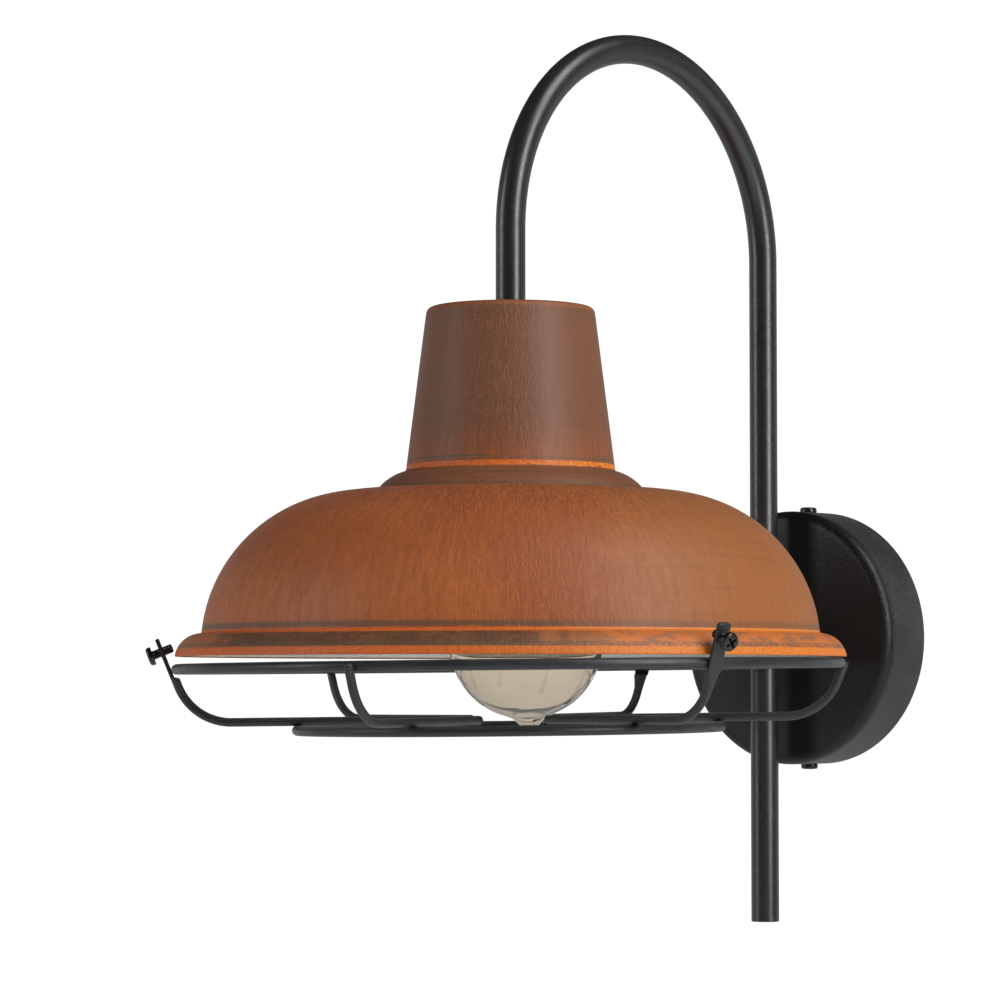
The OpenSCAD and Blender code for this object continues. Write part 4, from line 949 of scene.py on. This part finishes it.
def rib_line(off, top):
    """A rib's centre line in its own upright plane: flat, bend, then straight up to a height."""
    turn = 90.0 - CLIP_LEAN
    foot = np.array([RING_R + off * np.cos(lean), -off * np.sin(lean)])
    end_z = RIB_FLAT_Z + RIB_BEND_R * (1 - np.cos(np.radians(turn)))
    end_x = foot[0] + (end_z - foot[1]) * np.tan(lean)
    bend_x = end_x - RIB_BEND_R * np.sin(np.radians(turn))
    flat = np.column_stack([np.linspace(RIB_END_R, bend_x, 12)[:-1], np.full(11, RIB_FLAT_Z)])
    bend = arc(bend_x, RIB_FLAT_Z + RIB_BEND_R, RIB_BEND_R, -90, -90 + turn, 25)
    rise = np.linspace(end_z, top, 46)[1:]
    up = np.column_stack([end_x + (rise - end_z) * np.tan(lean), rise])
    line = np.vstack([flat, bend, up])
    return np.column_stack([line[:, 0], np.zeros(len(line)), line[:, 1]])


def with_ends(line, section):
    """Closes a rod: a pole and an eased edge at each end. Returns its path and its sections."""
    size = np.abs(section[0]).max()
    ease = 0.18 * size
    first, last = line[1] - line[0], line[-1] - line[-2]
    first, last = first / np.linalg.norm(first), last / np.linalg.norm(last)
    line = np.vstack([line[:1], line[:1] + first * 1e-3, line[:1] + first * ease, line[1:-1],
                      line[-1:] - last * ease, line[-1:] - last * 1e-3, line[-1:]])
    section = np.concatenate([section[:1] * 0, section[:1] * 0.86, section[:1], section[1:-1],
                              section[-1:], section[-1:] * 0.86, section[-1:] * 0])
    return line, section


SIDEWAYS = np.array([0.0, -1.0, 0.0])
PLAIN_ROD_OFF, PLAIN_UP = 3.55, 0.5
for name, heading in (("left", 60), ("right", 180), ("back", 300)):
    line = rib_line(PLAIN_ROD_OFF, PLAIN_UP)
    line, section = with_ends(line, np.repeat(ring_of(RIB_WIRE_R, 24)[None], len(line), 0))
    rib = placed(swept(line, SIDEWAYS, section), turning("Z", heading), (0, 0, 0))
    surface("rib_" + name, placed(rib, cage_turn, cage_at), cage_black, "cage",
            ["cage_rib_" + name])

# a clip rib goes from round wire to a 6.5 x 1.8 mm strap: its inner side steps back under the ring
CLIP_W, CLIP_T = 6.5, 1.8
CLIP_UP = (13.4, 16.0, 16.0)
CLIP_ROD_OFF = 2.0
THINNING, WIDENING = (-4.6, -3.2), (-12.0, -2.5)


def eased(value, low, high):
    """Runs smoothly from 0 to 1 while the value goes from low to high."""
    share = np.clip((value - low) / (high - low), 0, 1)
    return share * share * (3 - 2 * share)


for number, (heading, top) in enumerate(zip((0, 120, 240), CLIP_UP), 1):
    line = rib_line(CLIP_ROD_OFF, top)
    height = line[:, 2]
    thinned, widened = eased(height, *THINNING), eased(height, *WIDENING)
    angle = np.linspace(0, 2 * np.pi, 40, endpoint=False)
    power = 1.0 - 0.62 * thinned[:, None]
    across, deep = np.cos(angle)[None], np.sin(angle)[None]
    half_w = RIB_WIRE_R + (CLIP_W / 2 - RIB_WIRE_R) * widened
    corner = np.clip((top - height) / 1.1, 0, 1)
    half_w = half_w * np.where(widened > 0.99, 0.82 + 0.18 * np.sqrt(1 - (1 - corner) ** 2), 1.0)
    half_t = RIB_WIRE_R + (CLIP_T / 2 - RIB_WIRE_R) * thinned
    inward = RIB_WIRE_R - half_t
    section = np.stack([half_w[:, None] * np.sign(across) * np.abs(across) ** power,
                        half_t[:, None] * np.sign(deep) * np.abs(deep) ** power - inward[:, None]], -1)
    line, section = with_ends(line, section)
    rib = placed(swept(line, SIDEWAYS, section), turning("Z", heading), (0, 0, 0))
    surface(f"clip_{number}", placed(rib, cage_turn, cage_at), cage_black, "cage",
            [f"clip_rib_{number}"])

# ---------------------------------------------------------------------------
# The three clamp screws, M4 and blackened like the canopy's, which run through
# the clips square to the strap and press on the shade's rim.
# ---------------------------------------------------------------------------
CLAMP_UP = (7.5, 10.1, 10.1)
CLAMP_L = 9.0
RIM_R, TIP_GAP = 145.0, 0.1
CLIP_MID = 3.0
TIP_FACE_R = M4 * 0.38
for number, (heading, up) in enumerate(zip((0, 120, 240), CLAMP_UP), 1):
    clamp_x = RING_R + CLIP_MID * np.cos(lean) + (up + CLIP_MID * np.sin(lean)) * np.tan(lean)
    from_axis = clamp_x + CAGE_OFF * np.cos(np.radians(heading))
    clamp_in = (from_axis - RIM_R - TIP_GAP) / np.cos(lean) - TIP_FACE_R * np.tan(lean)
    screw = placed(pan_screw(M4, M4_PITCH, CLAMP_L), turning("Z", 20.0 * number), (0, 0, CLAMP_L - clamp_in))
    screw = placed(screw, turning("Y", 90.0 + CLIP_LEAN), (clamp_x, 0, up))
    screw = placed(screw, turning("Z", heading), (0, 0, 0))
    screw = placed(screw, cage_turn, cage_at)
    surface(f"clamp_{number}", screw, screw_black, f"screw_{number}",
            [f"clamp_screw_{number}"])
